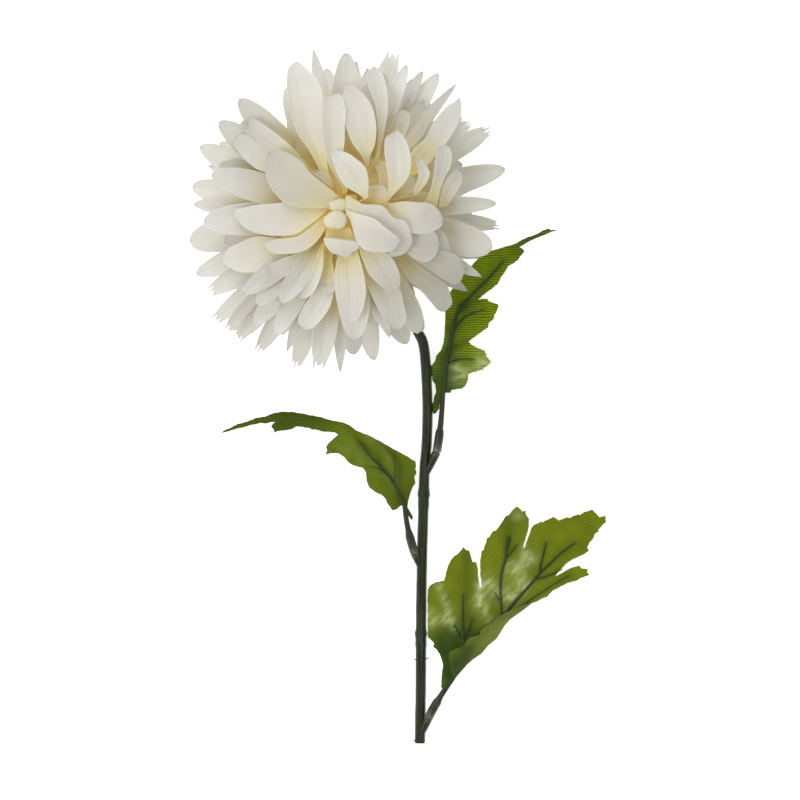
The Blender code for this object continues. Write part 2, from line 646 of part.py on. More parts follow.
def main():
    clear_scene()
    petal_fabric = make_material("petal_fabric", (0.78, 0.75, 0.66), 0.7)
    leaf_fabric = make_material("leaf_fabric", (0.16, 0.22, 0.03), 0.55)
    stem_plastic = make_material("stem_plastic", (0.045, 0.055, 0.03), 0.4)
    wire_steel = make_material("wire_steel", (0.5, 0.5, 0.5), 0.35, 1.0)
    finish(make_bloom(), petal_fabric)
    finish(make_calyx(), stem_plastic)
    finish(make_stem(), stem_plastic)
    finish(make_wire(), wire_steel)
    for side in LEAVES:
        finish(make_leaf(side), leaf_fabric)
        finish(make_petiole(side), stem_plastic)


main()
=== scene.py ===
"""Artificial pompon chrysanthemum: a cut stem with a fabric bloom and three woven leaves.

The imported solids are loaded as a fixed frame. A finer piece takes the place of each one, in the same frame,
and the stem lies on a pale table under soft light, seen from straight above. Lengths are millimetres unless
a comment says otherwise, and MM turns them into metres.
"""

import logging
import math
import random
from collections.abc import Callable, Iterator, Sequence
from dataclasses import dataclass, field, replace
from enum import Enum

import bpy
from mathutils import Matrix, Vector, noise
from mathutils.geometry import delaunay_2d_cdt


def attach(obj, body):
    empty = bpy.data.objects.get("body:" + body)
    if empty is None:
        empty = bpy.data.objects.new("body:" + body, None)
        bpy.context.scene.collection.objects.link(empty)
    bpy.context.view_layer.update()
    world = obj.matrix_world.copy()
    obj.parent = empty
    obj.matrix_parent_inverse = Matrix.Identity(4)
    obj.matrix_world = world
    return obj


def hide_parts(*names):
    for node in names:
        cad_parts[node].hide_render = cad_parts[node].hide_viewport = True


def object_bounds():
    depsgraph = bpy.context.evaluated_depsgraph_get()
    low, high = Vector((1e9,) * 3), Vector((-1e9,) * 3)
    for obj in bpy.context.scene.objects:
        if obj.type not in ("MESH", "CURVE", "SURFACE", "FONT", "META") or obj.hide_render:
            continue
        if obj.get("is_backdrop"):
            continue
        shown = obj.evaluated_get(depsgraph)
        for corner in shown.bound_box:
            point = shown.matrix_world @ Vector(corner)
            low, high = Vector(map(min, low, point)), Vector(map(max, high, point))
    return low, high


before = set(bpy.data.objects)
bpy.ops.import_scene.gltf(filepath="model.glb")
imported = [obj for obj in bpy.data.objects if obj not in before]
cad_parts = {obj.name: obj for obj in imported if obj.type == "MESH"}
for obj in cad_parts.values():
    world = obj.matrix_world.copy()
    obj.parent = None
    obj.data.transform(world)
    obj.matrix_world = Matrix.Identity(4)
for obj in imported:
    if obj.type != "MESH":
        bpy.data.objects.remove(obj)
CAD_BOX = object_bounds()

MM = 0.001
BODY = "root"
Object = bpy.types.Object
Material = bpy.types.Material
Node = bpy.types.Node
Socket = bpy.types.NodeSocket
Point = tuple[float, float]
Route = Sequence[Sequence[float]]
Colour = tuple[float, float, float]
Inputs = dict[str | int, object]
log = logging.getLogger("chrysanthemum")

# Bloom, as the solid has it
BLOOM_X, BLOOM_Y = -26.5, 85.0
HUB_HEIGHT = 33.0
DOME_RADIUS = 76.0
DOME_RISE = 0.72
GOLDEN_ANGLE = 137.508
SEED = 11

STEM_RADIUS = 2.25
STEM_ROUTE = (
    (9.0, -155.9, 2.3), (9.4, -130.0, 2.6), (9.5, -106.0, 2.9), (9.9, -75.0, 3.4), (10.8, -43.0, 4.1),
    (11.2, -31.0, 4.3), (12.2, -17.5, 4.7), (12.4, 0.5, 5.2), (11.0, 23.0, 5.8), (8.0, 31.0, 6.1),
    (1.0, 43.0, 6.6), (-9.0, 58.0, 7.0), (-19.5, 74.0, 7.2), (-24.6, 82.0, 8.8), (-26.5, 85.0, 13.5),
)
STEM_ROUTE_UNDER_BLOOM = 8

# Outer front petals as they lie: tip azimuth and swing in degrees, reach, width, lift off the dome, and form
FRONT_PETALS = (
    (291, 0, 61, 10, -3, "lance"), (262, -2, 71, 11, -2, "ragged"), (270, 3, 72, 9, -6, "lance"),
    (133, 3, 66, 13, 0, "spoon"), (100, 6, 72, 10, -4, "lance"), (88, 3, 69, 13.5, 0, "spoon"),
    (72, 13, 74, 11, -2, "ragged"), (66, 14, 70, 9, 3, "strap"), (60, 13, 71, 8, -3, "strap"),
    (55, 14, 74, 10, 2, "spoon"), (34, 3, 70, 8, -4, "ragged"), (29, 9, 76, 10, 2, "ragged"),
    (14, 0, 75, 12, 0, "spoon"), (2, 0, 69, 8.5, 2, "spoon"), (345, -11, 69, 15, 0, "blunt"),
    (354, 0, 71, 8, -5, "ragged"), (334, -8, 69, 11, -4, "lance"), (144, -7, 66, 13, 0, "spoon"),
    (156, -1, 68, 13, -2, "spoon"), (165, -5, 59, 13.5, 2, "spoon"), (171, -6, 66, 12, -3, "blunt"),
    (178, -3, 65, 9, -8, "spoon"), (185, -10, 61, 14.5, 1, "spoon"), (192, -4, 68, 15, -5, "blunt"),
    (204, -3, 70, 12, -6, "spoon"), (212, -12, 69, 10, -3, "ragged"), (221, -12, 57, 10.5, 2, "spoon"),
    (229, -11, 57, 11, 1, "spoon"), (221, -2, 75, 9, -7, "ragged"), (226, -10, 74, 10, -4, "ragged"),
    (231, -7, 74, 9, -6, "ragged"), (233, -10, 64, 10.5, 0, "spoon"), (239, -7, 73, 9, -6, "ragged"),
    (243, -6, 63, 10.5, 0, "spoon"), (249, -5, 67, 10, -3, "lance"), (254, -3, 73, 9, -6, "ragged"),
    (20, 8, 24, 10, -8, "spoon"), (48, 4, 76, 8, -3, "lance"),
    (238, -4, 50, 10, 1, "spoon"), (262, 4, 40, 11, -8, "spoon"),
)
# Inner petals by their edges as they are seen, from base to tip and from the bloom's axis: the left edge, the
# right edge, the lift off the dome at the base and at the tip and the depth of the hollow. Then, where they
# differ from the usual: the stand, foot, warm and dull of OutlinedPetal. Warm yellows a petal with dye and
# painted warm shade and gives it a painted glow, and dull darkens it with painted shade
INNER_PETALS = (
    (((-5.3, -0.2), (-14.4, -0.4), (-20, 0.3), (-23.5, 1.4), (-27.4, 4.6), (-30.7, 9), (-32.6, 13.3),
      (-33.1, 17.1), (-32.9, 21), (-31.7, 24.8)),
     ((-1, 5.5), (-4, 8), (-9, 12), (-13.5, 15.5), (-16.8, 20), (-21.6, 23.4), (-26.4, 25.2), (-31.7, 24.8)),
     -2.5, 1.5, 0.16, 0.3, 0.26, 0.0, 0.4),
    (((11, 3.6), (8.6, 5.6), (5.3, 7.5), (2.4, 9.4), (-0.5, 13.3), (-2.4, 18.1), (-3.8, 21.9), (-4.3, 25.3)),
     ((12.6, 4.2), (12.4, 7), (12.6, 11.4), (12, 15.7), (10.1, 19), (7.2, 21.4), (3.8, 23.8), (0.5, 24.8),
      (-4.3, 25.3)),
     0.0, 3.0, 0.18, 0.3, 0.34),
    (((19.6, 2.2), (20.9, 5.6), (21.4, 10.4), (21.1, 15.2), (20.2, 20), (19.7, 24.8), (19.9, 30.1),
      (21.6, 32), (25, 34.4)),
     ((20.8, 2.2), (23, 5.1), (26.4, 8.5), (29.8, 12.8), (31.2, 17.6), (31.2, 22.9), (29.8, 28.2),
      (27.4, 32.5), (25, 34.4)),
     -1.0, 4.0, 0.2),
    (((3.2, 5.5), (7.2, 3.2), (10.1, 1.5), (14.4, 1.3), (18.7, 0.8), (21.1, -1.6), (23.5, -4.5), (26.4, -5),
      (28.8, -5.9), (30.2, -8.3), (31.7, -13.1), (31.7, -16), (30.2, -18.4)),
     ((2.6, -1), (8, -5), (14, -10), (19, -15), (22.1, -21), (25, -21.5), (28.3, -20.3), (30.2, -18.4)),
     -2.0, 1.0, 0.1, 0.3, 0.36),
    (((3.2, -1.2), (7.2, -2.6), (12, -4), (15.8, -5.4), (19.2, -8.3), (23, -11.2), (25.9, -13.6),
      (26.4, -15.5)),
     ((3.6, -4), (4.8, -6.4), (5.8, -9.8), (6.7, -13.6), (8.2, -16), (10.1, -18.4), (13.9, -19.6),
      (18.2, -19.8), (21.6, -19.6), (24.5, -17.9), (26.4, -15.5)),
     0.0, 4.0, 0.16, 0.3, 0.4),
    (((9.1, -15.8), (8.2, -17.6), (7.2, -18.9), (5.3, -19.8), (3.8, -21.8), (1.9, -22.2)),
     ((-7.2, -14.1), (-6.5, -16.5), (-4.8, -18.9), (-2.9, -20.3), (-0.2, -21), (1.9, -22.2)),
     4.0, 0.5, -0.1, 0.86, 0.5),
    (((4.5, -9), (5.8, -12), (6.5, -15), (1, -19)), ((-5.5, -9), (-6.4, -12), (-6, -15.5), (1, -19)),
     -5.5, -3.0, 0.1, 0.6, 0.24, 0.5),
    (((-4.8, -0.7), (-9.1, -4.5), (-14, -8), (-19, -11.6), (-26, -12.3), (-33, -12), (-40, -10),
      (-44.5, -6.5), (-47.6, -2.8)),
     ((-4.8, 2), (-12, 3), (-20, 3), (-28, 2), (-36, 1.4), (-43, 0.2), (-46.5, -0.8), (-47.6, -2.8)),
     -5.0, -0.5, 0.16),
    (((-6.5, -9.5), (-10, -14.5), (-14, -18), (-19, -20), (-25, -20.4), (-30, -20), (-33.2, -17.8)),
     ((-6, -3), (-9.8, -6.2), (-14.4, -9.8), (-19, -12.7), (-25, -13.6), (-30, -14.2), (-33, -16),
      (-33.2, -17.8)),
     -5.5, -1.0, 0.16),
    (((-13, -19), (-16, -23), (-19, -27), (-23, -30), (-28, -31), (-32, -30), (-34, -28)),
     ((-11.5, -16), (-16, -19), (-21, -20.8), (-26, -22.5), (-31, -25), (-34, -28)),
     -8.0, -2.5, 0.2),
    (((-20, -19), (-30, -24.5), (-38, -28.2), (-45, -28), (-50, -25.5), (-53, -22.5)),
     ((-20, -14), (-30, -13), (-38, -12.6), (-45, -15.5), (-50, -18), (-53, -22.5)),
     -9.0, -2.5, 0.2),
    (((-14, 12), (-24, 20), (-33, 25.5), (-38, 29.5), (-42.5, 34), (-44.5, 38)),
     ((-12, 16), (-20, 25.5), (-27, 32), (-33, 36.5), (-38, 39.8), (-41.5, 40.6), (-44.5, 38)),
     -9.0, -2.0, 0.3),
    (((-22, 12), (-32, 15.5), (-38, 18), (-44, 23.5), (-47, 28), (-46.8, 31.5)),
     ((-20, 20), (-28, 24), (-34, 26), (-38, 30), (-42, 33), (-45, 33), (-46.8, 31.5)),
     -7.0, -1.0, 0.2),
    (((-6, 10), (-12.9, 24.3), (-19.1, 33.6), (-22.2, 43.9), (-23.8, 54.3), (-23.3, 62.5), (-19.6, 66.1)),
     ((-4, 9), (-5.5, 18), (-6.7, 28.4), (-7.8, 37.7), (-7.5, 48.1), (-9.8, 56.3), (-15, 62.5),
      (-19.6, 66.1)),
     -8.0, 1.0, 0.45),
    (((1.5, 8), (-1.4, 13.3), (-4.3, 18.1), (-6.7, 24.8), (-7.7, 32), (-8, 40.8), (-6.7, 48.1),
      (-2.6, 50.6)),
     ((3.5, 8), (1.2, 16), (1.4, 24.8), (1.9, 28.2), (2.1, 35.7), (2.4, 42.9), (0.5, 50.1), (-2.6, 50.6)),
     -4.0, 1.0, 0.5),
    (((11.4, 18.3), (9.6, 22.9), (6.2, 27.2), (3.8, 32.5), (1.2, 40.8), (1, 49.1), (2.6, 55.8)),
     ((12.6, 18.3), (13.4, 23.4), (15.2, 27.2), (16, 33), (15.8, 37.7), (14, 45), (8.8, 52.2), (2.6, 55.8)),
     -3.5, 1.5, 0.2),
    (((15, 20), (16.5, 26.4), (17, 35.7), (15.5, 46), (12.4, 54.3), (11.9, 60.5), (15, 63.6)),
     ((17, 20), (18.1, 28.4), (19.6, 34.6), (21, 43.9), (20.7, 53.2), (18.6, 60.5), (15, 63.6)),
     -7.0, -1.0, 0.4),
    (((30, 20), (31.5, 25), (38, 31.5), (41.5, 38.5), (47, 45.5), (50.5, 48), (53.2, 50.4)),
     ((36, 16), (41, 22), (44.5, 26), (48, 30.5), (52.2, 37.7), (54, 45), (53.2, 50.4)),
     -9.0, -1.0, 0.3),
    (((32.2, 5.4), (33, 9), (34.5, 13), (34.7, 17), (33.2, 21), (31.5, 23.5)),
     ((33.4, 5.4), (35.2, 7.5), (37.5, 10), (39.3, 13.5), (39.5, 16.5), (37, 20), (34, 22.5), (31.5, 23.5)),
     -4.0, 1.0, 0.3),
    (((37.5, 2.5), (40, 8), (41.3, 14), (42, 20), (43, 26), (45.3, 28.4)),
     ((43, 0.5), (43.5, 4), (44.5, 9), (46.5, 14), (49, 19), (49.5, 24), (48, 27.3), (45.3, 28.4)),
     -5.0, 0.0, 0.3),
    (((43.5, 0.5), (44.5, 6), (46, 11), (49, 15), (51.5, 17), (53.8, 16.2)),
     ((47.5, 0.8), (50, 5), (52, 8), (54, 12.5), (53.8, 16.2)),
     -8.0, -2.0, 0.3),
    (((19, 3.5), (22, 2), (28, 2.8), (34, 2.4), (40, 1.8), (43.5, -0.8), (45.5, -4.5)),
     ((20, -3), (25, -7), (31, -11), (38, -11.3), (43, -9.5), (45, -7.5), (45.5, -4.5)),
     -5.0, 1.0, 0.2),
    (((24, -6), (32, -8), (38, -9), (42.5, -11.5), (43.8, -16)),
     ((22, -10), (28, -18), (33, -22.5), (37, -24), (40.5, -22.8), (43, -19.5), (43.8, -16)),
     -7.0, -1.0, 0.25),
    (((30, -5), (38, -7), (44, -9.5), (47.3, -13.5), (49, -18)),
     ((28, -12), (36, -19), (42, -22), (46, -22.8), (48.5, -21), (49, -18)),
     -9.5, -3.5, 0.2),
    (((26, -12), (36, -16), (44, -18.5), (50, -20), (53.5, -22.5), (55, -27)),
     ((22, -16), (30, -21), (38, -26.3), (44, -30.3), (48, -32.5), (51.3, -33.5), (54, -31), (55, -27)),
     -9.0, -3.0, 0.25),
    (((22, -14), (34, -24), (44, -31), (47.3, -33.5), (49, -38), (49.7, -42), (46.6, -45.5)),
     ((17, -16), (25, -24.5), (30.5, -32), (34, -34.5), (40, -41), (43.5, -45), (46.6, -45.5)),
     -15.0, -9.0, 0.2),
    (((20, -20), (27, -28), (31, -35), (35, -42), (36.9, -48), (36.6, -53), (34.3, -55.4)),
     ((16, -22), (22, -32), (26, -42), (28, -49), (30, -53.5), (34.3, -55.4)),
     -15.0, -9.0, 0.25),
    (((12, -16), (18, -18.5), (22.2, -21.2), (25.3, -26.4), (26.6, -31), (26, -35.5), (23.5, -37.6)),
     ((8, -17), (10, -23), (12.9, -29.5), (18.1, -34.6), (21, -36.8), (23.5, -37.6)),
     -3.0, 0.5, 0.2),
    (((14, -24), (22, -31), (26.5, -36), (28.2, -42), (29.3, -48), (28, -52), (25, -53.8)),
     ((10, -26), (11.5, -33), (15, -41), (19.5, -48.5), (22.5, -52.5), (25, -53.8)),
     -9.0, -3.0, 0.3),
    (((7.5, -18), (9.5, -25), (11, -32), (11.4, -38), (10, -45), (7.5, -49.2), (4, -51)),
     ((-0.5, -20), (-2.3, -28), (-2, -37.7), (-0.5, -45), (1.5, -49), (4, -51)),
     -5.0, 0.5, 0.25),
    (((10, -30), (13, -38), (13.2, -44), (12, -50), (10, -55.5), (6.5, -58.7)),
     ((0, -32), (-1, -42), (0.5, -50), (3, -56), (6.5, -58.7)),
     -11.0, -5.0, 0.2),
    (((-3.5, -23), (-2.3, -31), (-3, -38), (-5, -44.5), (-9, -50), (-12.5, -53), (-15.5, -54)),
     ((-7.5, -20), (-8.5, -28), (-10.5, -35), (-14.5, -41), (-18, -47), (-18.5, -51), (-15.5, -54)),
     -9.0, -2.5, 0.3),
    (((-7.6, -18.5), (-7.3, -23), (-8, -28), (-10, -34), (-13.5, -39), (-19, -40.2)),
     ((-9, -18), (-11, -24), (-14, -30), (-16.5, -35), (-19, -40.2)),
     -5.0, 0.5, 0.5),
    (((-3, 8), (-8, 12), (-11, 14.5), (-13.5, 16.8)),
     ((-2.5, 10), (-5, 14.5), (-8, 16.2), (-13.5, 16.8)),
     -7.0, -4.5, 0.3),
    (((-5, -4), (-9, -8), (-14, -12), (-20, -15), (-27, -13.5)),
     ((-4, 3), (-8, 2), (-14, -2), (-20, -6), (-27, -13.5)),
     -7.5, -4.5, 0.1, 0.3, 0.24, 0.9),
    (((-4, 4), (-7.5, 10), (-9.5, 17), (-9, 24), (-5, 28)),
     ((2, 5), (3.5, 12), (2, 19), (-1, 25), (-5, 28)),
     -10.0, -9.0, 0.1, 0.3, 0.24, 0.65),
    (((7, 6), (8, 0), (7.5, -6), (6, -12), (0, -16)), ((-7, 6), (-8, 0), (-7.5, -6), (-6, -12), (0, -16)),
     -8.0, -7.0, 0.1, 0.3, 0.24, 0.9),
    (((10, 4), (16, 8), (17, 14), (14, 20), (9, 23)), ((14, 1), (21, 4), (24, 10), (20, 20), (9, 23)),
     -9.0, -8.0, 0.1, 0.3, 0.24, 0.4),
    (((19, 24), (24, 33), (29, 41), (34, 47), (39, 50)), ((25, 19), (32, 27), (38, 35), (41, 43), (39, 50)),
     -13.0, -11.0, 0.2, 0.3, 0.24, 0.08, 0.3),
)
UNDER_PETALS = 34
BACK_PETALS = 46
BACK_REACH = 65.0
BACK_OFFSET = 4.0
# Gaps in the bloom's rim: azimuth, how far the petals under it draw in, and spread in degrees
RIM_NOTCHES = ((126, 24, 10), (313, 20, 9), (358, 16, 12), (25, 12, 7), (48, 8, 5), (268, 8, 5))

# Painted shade on the petals, darkest at the lower right: place from the bloom's axis, radius and strength
PAINTED_SHADE_SPOTS = ((48, -38, 28, 0.75), (62, 14, 22, 0.4), (-41, 45, 24, 0.35))

# Midribs as x, y, height and how the blade falls off to the left and to the right; and the blades' outlines
UPPER_MIDRIB = (
    (19.5, 2, 6.6, -0.3, -0.1), (21, 15.5, 7.6, -0.4, -0.1), (23.5, 30, 8.2, -0.5, -0.12),
    (26.5, 40.5, 8, -0.5, -0.15), (32, 47, 7.4, -0.4, -0.15), (40, 55, 6.2, -0.35, -0.2),
    (47, 63, 5, -0.3, -0.3), (55, 71.5, 3.4, -0.3, -0.3), (71, 77.3, 1.2, -0.3, -0.3),
)
UPPER_OUTLINE = (
    (19.9, 2.3), (18.2, -1.1), (17.9, -3.7), (16.4, -5.9), (15.2, -6.5), (14.4, -4.2), (15.6, 1.9),
    (16.4, 3.6), (16, 7), (14.7, 8.8), (14.6, 10.5), (13.3, 12.2), (13.4, 14.8), (16, 17.8),
    (16.4, 19.9), (18.6, 22.5), (19.9, 26.8), (20.3, 32), (20.5, 35.4), (20.7, 40.6), (22.9, 49.2),
    (28.1, 56.1), (32.8, 61.2), (35.8, 64.7), (38, 65.9), (39.4, 67.3), (39.8, 69.8), (41.1, 70.3),
    (41.4, 68.6), (40.9, 67.6), (43.1, 68.1), (47.9, 69.7), (52.2, 70.9), (55.6, 72.9), (61.6, 75.2),
    (67.2, 78), (68.5, 77.2), (71.5, 77.3), (70.2, 76.6), (68.5, 76.3), (65.9, 75), (62.5, 73.7),
    (59, 72.2), (54.2, 69.3), (55.6, 68.8), (56.5, 67.4), (55.6, 66.4), (53.4, 63.4), (51.7, 62.1),
    (49.1, 60.8), (47.4, 57.8), (45.7, 55.6), (44.4, 52.6), (41.8, 50.5), (39.2, 48.8), (35.4, 45.7),
    (39.7, 46), (40.1, 44.9), (44.8, 43.2), (44, 40.6), (42.7, 38.4), (42.7, 37), (40.1, 34.6),
    (39.9, 32.8), (34.9, 29.4), (31.1, 26.4), (32.4, 25.1), (36.7, 23), (38.4, 22.1), (39.2, 19.9),
    (40.5, 18.2), (41.4, 17.4), (40.1, 16.1), (39.2, 15.2), (38, 14.8), (37.5, 13.7), (34.1, 12.9),
    (31.1, 11.8), (30.9, 9.6), (29.8, 6.6), (28.1, 5.1), (23.3, 4.5), (22.9, 3.2), (20.3, 3.2),
)
LEFT_MIDRIB = (
    (2, -48, 9.5, -0.3, -0.3), (-2, -39, 13, -0.35, -0.3), (-7.5, -31.5, 16.5, -0.4, -0.4),
    (-13.5, -25.5, 19, -0.45, -0.5), (-18, -19.5, 20.5, -0.5, -0.6), (-24, -13, 20.5, -0.7, -0.8),
    (-34.5, -10.2, 18, -1.0, -1.0), (-48, -7.5, 13.5, -1.0, -0.9), (-58, -8, 9.5, -0.8, -0.7),
    (-70, -11, 4.8, -0.5, -0.5), (-82, -15, 1.2, -0.3, -0.3),
)
LEFT_OUTLINE = (
    (0.6, -47.7), (-1.7, -49.6), (-3.5, -50), (-4.6, -48.2), (-6, -46.4), (-6.7, -44.6), (-8.5, -42.8),
    (-11.1, -41.7), (-13.6, -39.9), (-15, -37), (-15.4, -32.7), (-16.8, -30.6), (-21.1, -29.5),
    (-23.3, -28.1), (-25.4, -25.6), (-27.6, -24.1), (-30.4, -24), (-33.7, -24.8), (-32.9, -22.7),
    (-33.5, -21.3), (-32.6, -19.8), (-31.1, -18.4), (-27.9, -15.7), (-29.4, -14.6), (-32.6, -14.3),
    (-35.5, -14.1), (-39, -13.2), (-39.8, -13.5), (-40.5, -12.8), (-44.1, -12.1), (-46.9, -11.9),
    (-49.1, -13.2), (-52, -13.7), (-55.6, -14.1), (-57.3, -14.8), (-57, -13.7), (-58.4, -11.9),
    (-57.7, -10.8), (-56.3, -9.8), (-58.4, -9.9), (-60.6, -10.6), (-63.1, -10.3), (-68.5, -11.6),
    (-73.9, -13), (-78.5, -14.4), (-81.7, -15.2), (-80.3, -14.1), (-76.4, -12.3), (-73.5, -10.8),
    (-69.2, -9.8), (-64.9, -8), (-61.3, -7.6), (-57.7, -6.2), (-52.7, -5.3), (-48, -5.5), (-42.6, -6.5),
    (-36.9, -7.6), (-30.4, -9.4), (-25.4, -10.3), (-22.2, -11.9), (-20, -13.7), (-13.9, -16.2),
    (-8.9, -18.7), (-3.9, -21.6), (1.9, -24.8), (6.9, -27.7), (7.2, -29.9), (6.9, -31.3), (7.5, -33.1),
    (6.5, -34.9), (6.9, -37.8), (5.8, -39.2), (4.7, -42.1), (3.7, -45.7), (3.4, -48.5), (4.7, -50.7),
    (6, -53.2), (5.1, -54.6), (3.3, -51.8), (1.9, -48.7),
)
LOWER_MIDRIB = (
    (24, -126, 8.0, 0.0, 0.0), (35, -108, 10.5, 0.06, 0.1), (45.5, -97, 12.5, 0.07, 0.15),
    (61, -81, 13.5, 0.03, 0.05), (79, -65.5, 9.5, 0.0, -0.1), (92.5, -54, 4.5, -0.1, -0.1),
)
LOWER_OUTLINE = (
    (24.6, -126.8), (24.1, -126.1), (19.9, -131.3), (18.5, -130), (18.8, -126.8), (19.1, -123.4),
    (19.5, -120.1), (18.9, -117.8), (18, -115.2), (16.5, -112.9), (15, -111.8), (15.5, -110.3),
    (12.6, -107.3), (12.5, -100.6), (12.5, -94.6), (12.5, -88.6), (12.6, -85.9), (13.9, -83.7),
    (16.5, -82.3), (19.9, -81.8), (20.6, -79.6), (21.6, -75.1), (22.9, -72.4), (24.4, -70.6),
    (26.6, -69.1), (28.9, -66.4), (30, -67.9), (31.3, -68.1), (32.1, -70.6), (32.8, -73.2),
    (34.5, -73.4), (35.1, -75.8), (35.4, -79.9), (36.1, -84.7), (37, -84.7), (36.8, -82.6),
    (36.3, -78.1), (36.3, -72.1), (36.8, -68.3), (37.6, -68.1), (38.6, -65.3), (39.4, -62.3),
    (40.5, -61.9), (42, -59.3), (43.4, -58.9), (45.4, -56.3), (46.9, -54.1), (48, -52.4), (49, -52.2),
    (50.6, -50.2), (52.9, -48.1), (54.4, -49.3), (55.5, -50.5), (56.8, -49.9), (57.2, -52.2),
    (58.5, -54.1), (58.3, -57.1), (57.4, -60.8), (56.2, -64.6), (55.7, -67), (56.5, -66.7),
    (57.1, -64.6), (58.1, -61.9), (59.6, -57.8), (61.1, -56.3), (63.8, -55), (64.5, -55.4),
    (66.8, -54.2), (69.6, -52.9), (72, -54.6), (75.8, -53.1), (76.6, -53.5), (80.6, -51.8),
    (81.4, -52.2), (84, -50.7), (87.4, -49.8), (88.5, -51.1), (90.4, -53.2), (93.4, -52.6),
    (93.4, -55.7), (91.9, -56.7), (90, -58.9), (90, -59.7), (88.3, -60.8), (87.9, -62.2), (85.9, -64.6),
    (84.8, -66.7), (85.6, -68.3), (83.2, -70), (80.2, -71.3), (77.2, -72.8), (75, -74.3), (72.4, -76.9),
    (70.3, -79.8), (72, -79), (75, -77.3), (78.4, -75.7), (81.4, -75.1), (82.1, -76.3), (85.1, -76.7),
    (84.8, -78.1), (85.9, -79.3), (84, -79.9), (81.8, -80.7), (80.2, -81.8), (75.8, -82.9), (72, -84.8),
    (69, -86.3), (66.8, -88.9), (63.8, -90.1), (61.6, -91.3), (59.2, -92.2), (56.2, -94.6),
    (52.5, -97.2), (49.5, -99.4), (47.2, -102.1), (45.4, -105.1), (43.5, -108.1), (39.8, -111.1),
    (36.8, -114.8), (35.2, -115.4), (33, -117.4), (30.4, -119.7), (27.8, -122.7),
)
# The lower leaf's right edge is folded back over its base: the crease, then the flap's free edge
FLAP_CREASE = (
    (24.6, -126.4), (27.8, -122.7), (30.4, -119.7), (33, -117.4), (36.8, -114.8), (39.8, -111.1),
    (43.5, -108.1), (45.4, -105.1), (47.2, -102.1), (49.5, -99.4), (52.5, -97.2), (56.2, -94.6),
    (59.2, -92.2),
)
FLAP_EDGE = (
    (58.9, -91.9), (56.2, -92.6), (52.5, -94.2), (48.8, -95.7), (45.8, -97.4), (43.1, -99.6),
    (40.5, -101.6), (38.2, -102.9), (36.4, -104.5), (36.1, -106.0), (33.8, -106.7), (31.5, -107.5),
    (29.6, -109.2), (28.3, -111.4), (26.2, -112.2), (22.4, -113.8), (21.9, -115.9), (22.6, -120.1),
    (23.4, -124.2),
)

# Stubs on the stem: from its middle to the shoulder where a stalk plugs on
STUBS = {
    "left": ((9.9, -77.5, 3.4), (9.0, -74.5, 4.0), (6.6, -69.5, 5.6)),
    "upper": ((11.1, -34.5, 4.2), (13.2, -30.5, 5.2), (16.6, -23.6, 7.0)),
    "lower": ((9.1, -152.3, 2.6), (10.6, -149.2, 3.3), (12.9, -144.3, 4.8)),
}
# Stalks beyond the stubs, up to the leaf's base
STALKS = {
    "left": ((4.4, -61.8, 8.2), (2.9, -54.5, 10.6)),
    "upper": ((17.9, -15.5, 8.4), (18.7, -8.5, 8.9)),
    "lower": ((15.4, -139.4, 6.4), (19.2, -133.0, 8.8)),
}

# The power of the curve across a petal's hollow
HOLLOW = 1.8
# Room that petals keep over the table, the stem and the upper leaf, which falls away past its crown
OVER_TABLE = 0.35
OVER_STEM, BESIDE_STEM = 1.2, 0.8
OVER_LEAF, LEAF_CROWN, LEAF_SLOPE, LEAF_HALF_WIDTH = 3.2, 7.0, 0.45, 16.0
# Where the petals turn yellower, with dye and painted warm shade, and show a painted glow: below the dome,
# and from a reach inwards
WARM_BELOW, WARM_DEPTH = 2.0, 16.0
WARM_REACH, WARM_FADE = 54.0, 34.0


def bell(distance: float, spread: float) -> float:
    """A share that is 1 at no distance and falls off softly, to about a third at the spread."""
    return math.exp(-(distance / spread) ** 2)


def clamp(share: float) -> float:
    """A share held between 0 and 1."""
    return min(1.0, max(0.0, share))


def deselect_all() -> None:
    """Leaves nothing selected, so that an operator acts only on what is then picked."""
    for item in bpy.context.selected_objects:
        item.select_set(False)


def pick(*items: Object) -> None:
    """Selects these objects alone and makes the first of them active.

    Args:
        *items: The objects to select.
    """
    deselect_all()
    for item in items:
        item.select_set(True)
    bpy.context.view_layer.objects.active = items[0]


def add_object(name: str, data: bpy.types.ID) -> Object:
    """Puts a mesh, a lamp's data or a camera's in the scene.

    Args:
        name: The object's name.
        data: What it shows.

    Returns:
        The new object, at the origin.
    """
    item = bpy.data.objects.new(name, data)
    bpy.context.scene.collection.objects.link(item)
    return item


def remove(item: Object) -> None:
    """Takes an object that has done its work out of the scene."""
    bpy.data.objects.remove(item, do_unlink=True)


def apply_modifier(item: Object, kind: str, **settings: object) -> None:
    """Adds a modifier with these settings and applies it.

    Args:
        item: The object to change.
        kind: Blender's name of the modifier type.
        **settings: The modifier's properties.
    """
    pick(item)
    modifier = item.modifiers.new(kind.title(), kind)
    for name, value in settings.items():
        setattr(modifier, name, value)
    bpy.ops.object.modifier_apply(modifier=modifier.name)


def merge_doubles(distance: float, turn_outwards: bool = True) -> None:
    """Merges the active mesh's doubled vertices.

    Args:
        distance: How close two of them are to be merged, in metres.
        turn_outwards: Whether its faces are then turned outwards.
    """
    bpy.ops.object.mode_set(mode="EDIT")
    bpy.ops.mesh.select_all(action="SELECT")
    bpy.ops.mesh.remove_doubles(threshold=distance)
    if turn_outwards:
        bpy.ops.mesh.normals_make_consistent(inside=False)
    bpy.ops.object.mode_set(mode="OBJECT")


def join(name: str, parts: Sequence[Object]) -> Object:
    """Joins objects into one piece.

    Args:
        name: The piece's name.
        parts: The objects to join, all of them meshes.

    Returns:
        The joined object, which is the active one.
    """
    pick(*parts)
    if len(parts) > 1:
        bpy.ops.object.join()
    piece = bpy.context.view_layer.objects.active
    piece.name = name
    piece.data.name = name
    return piece


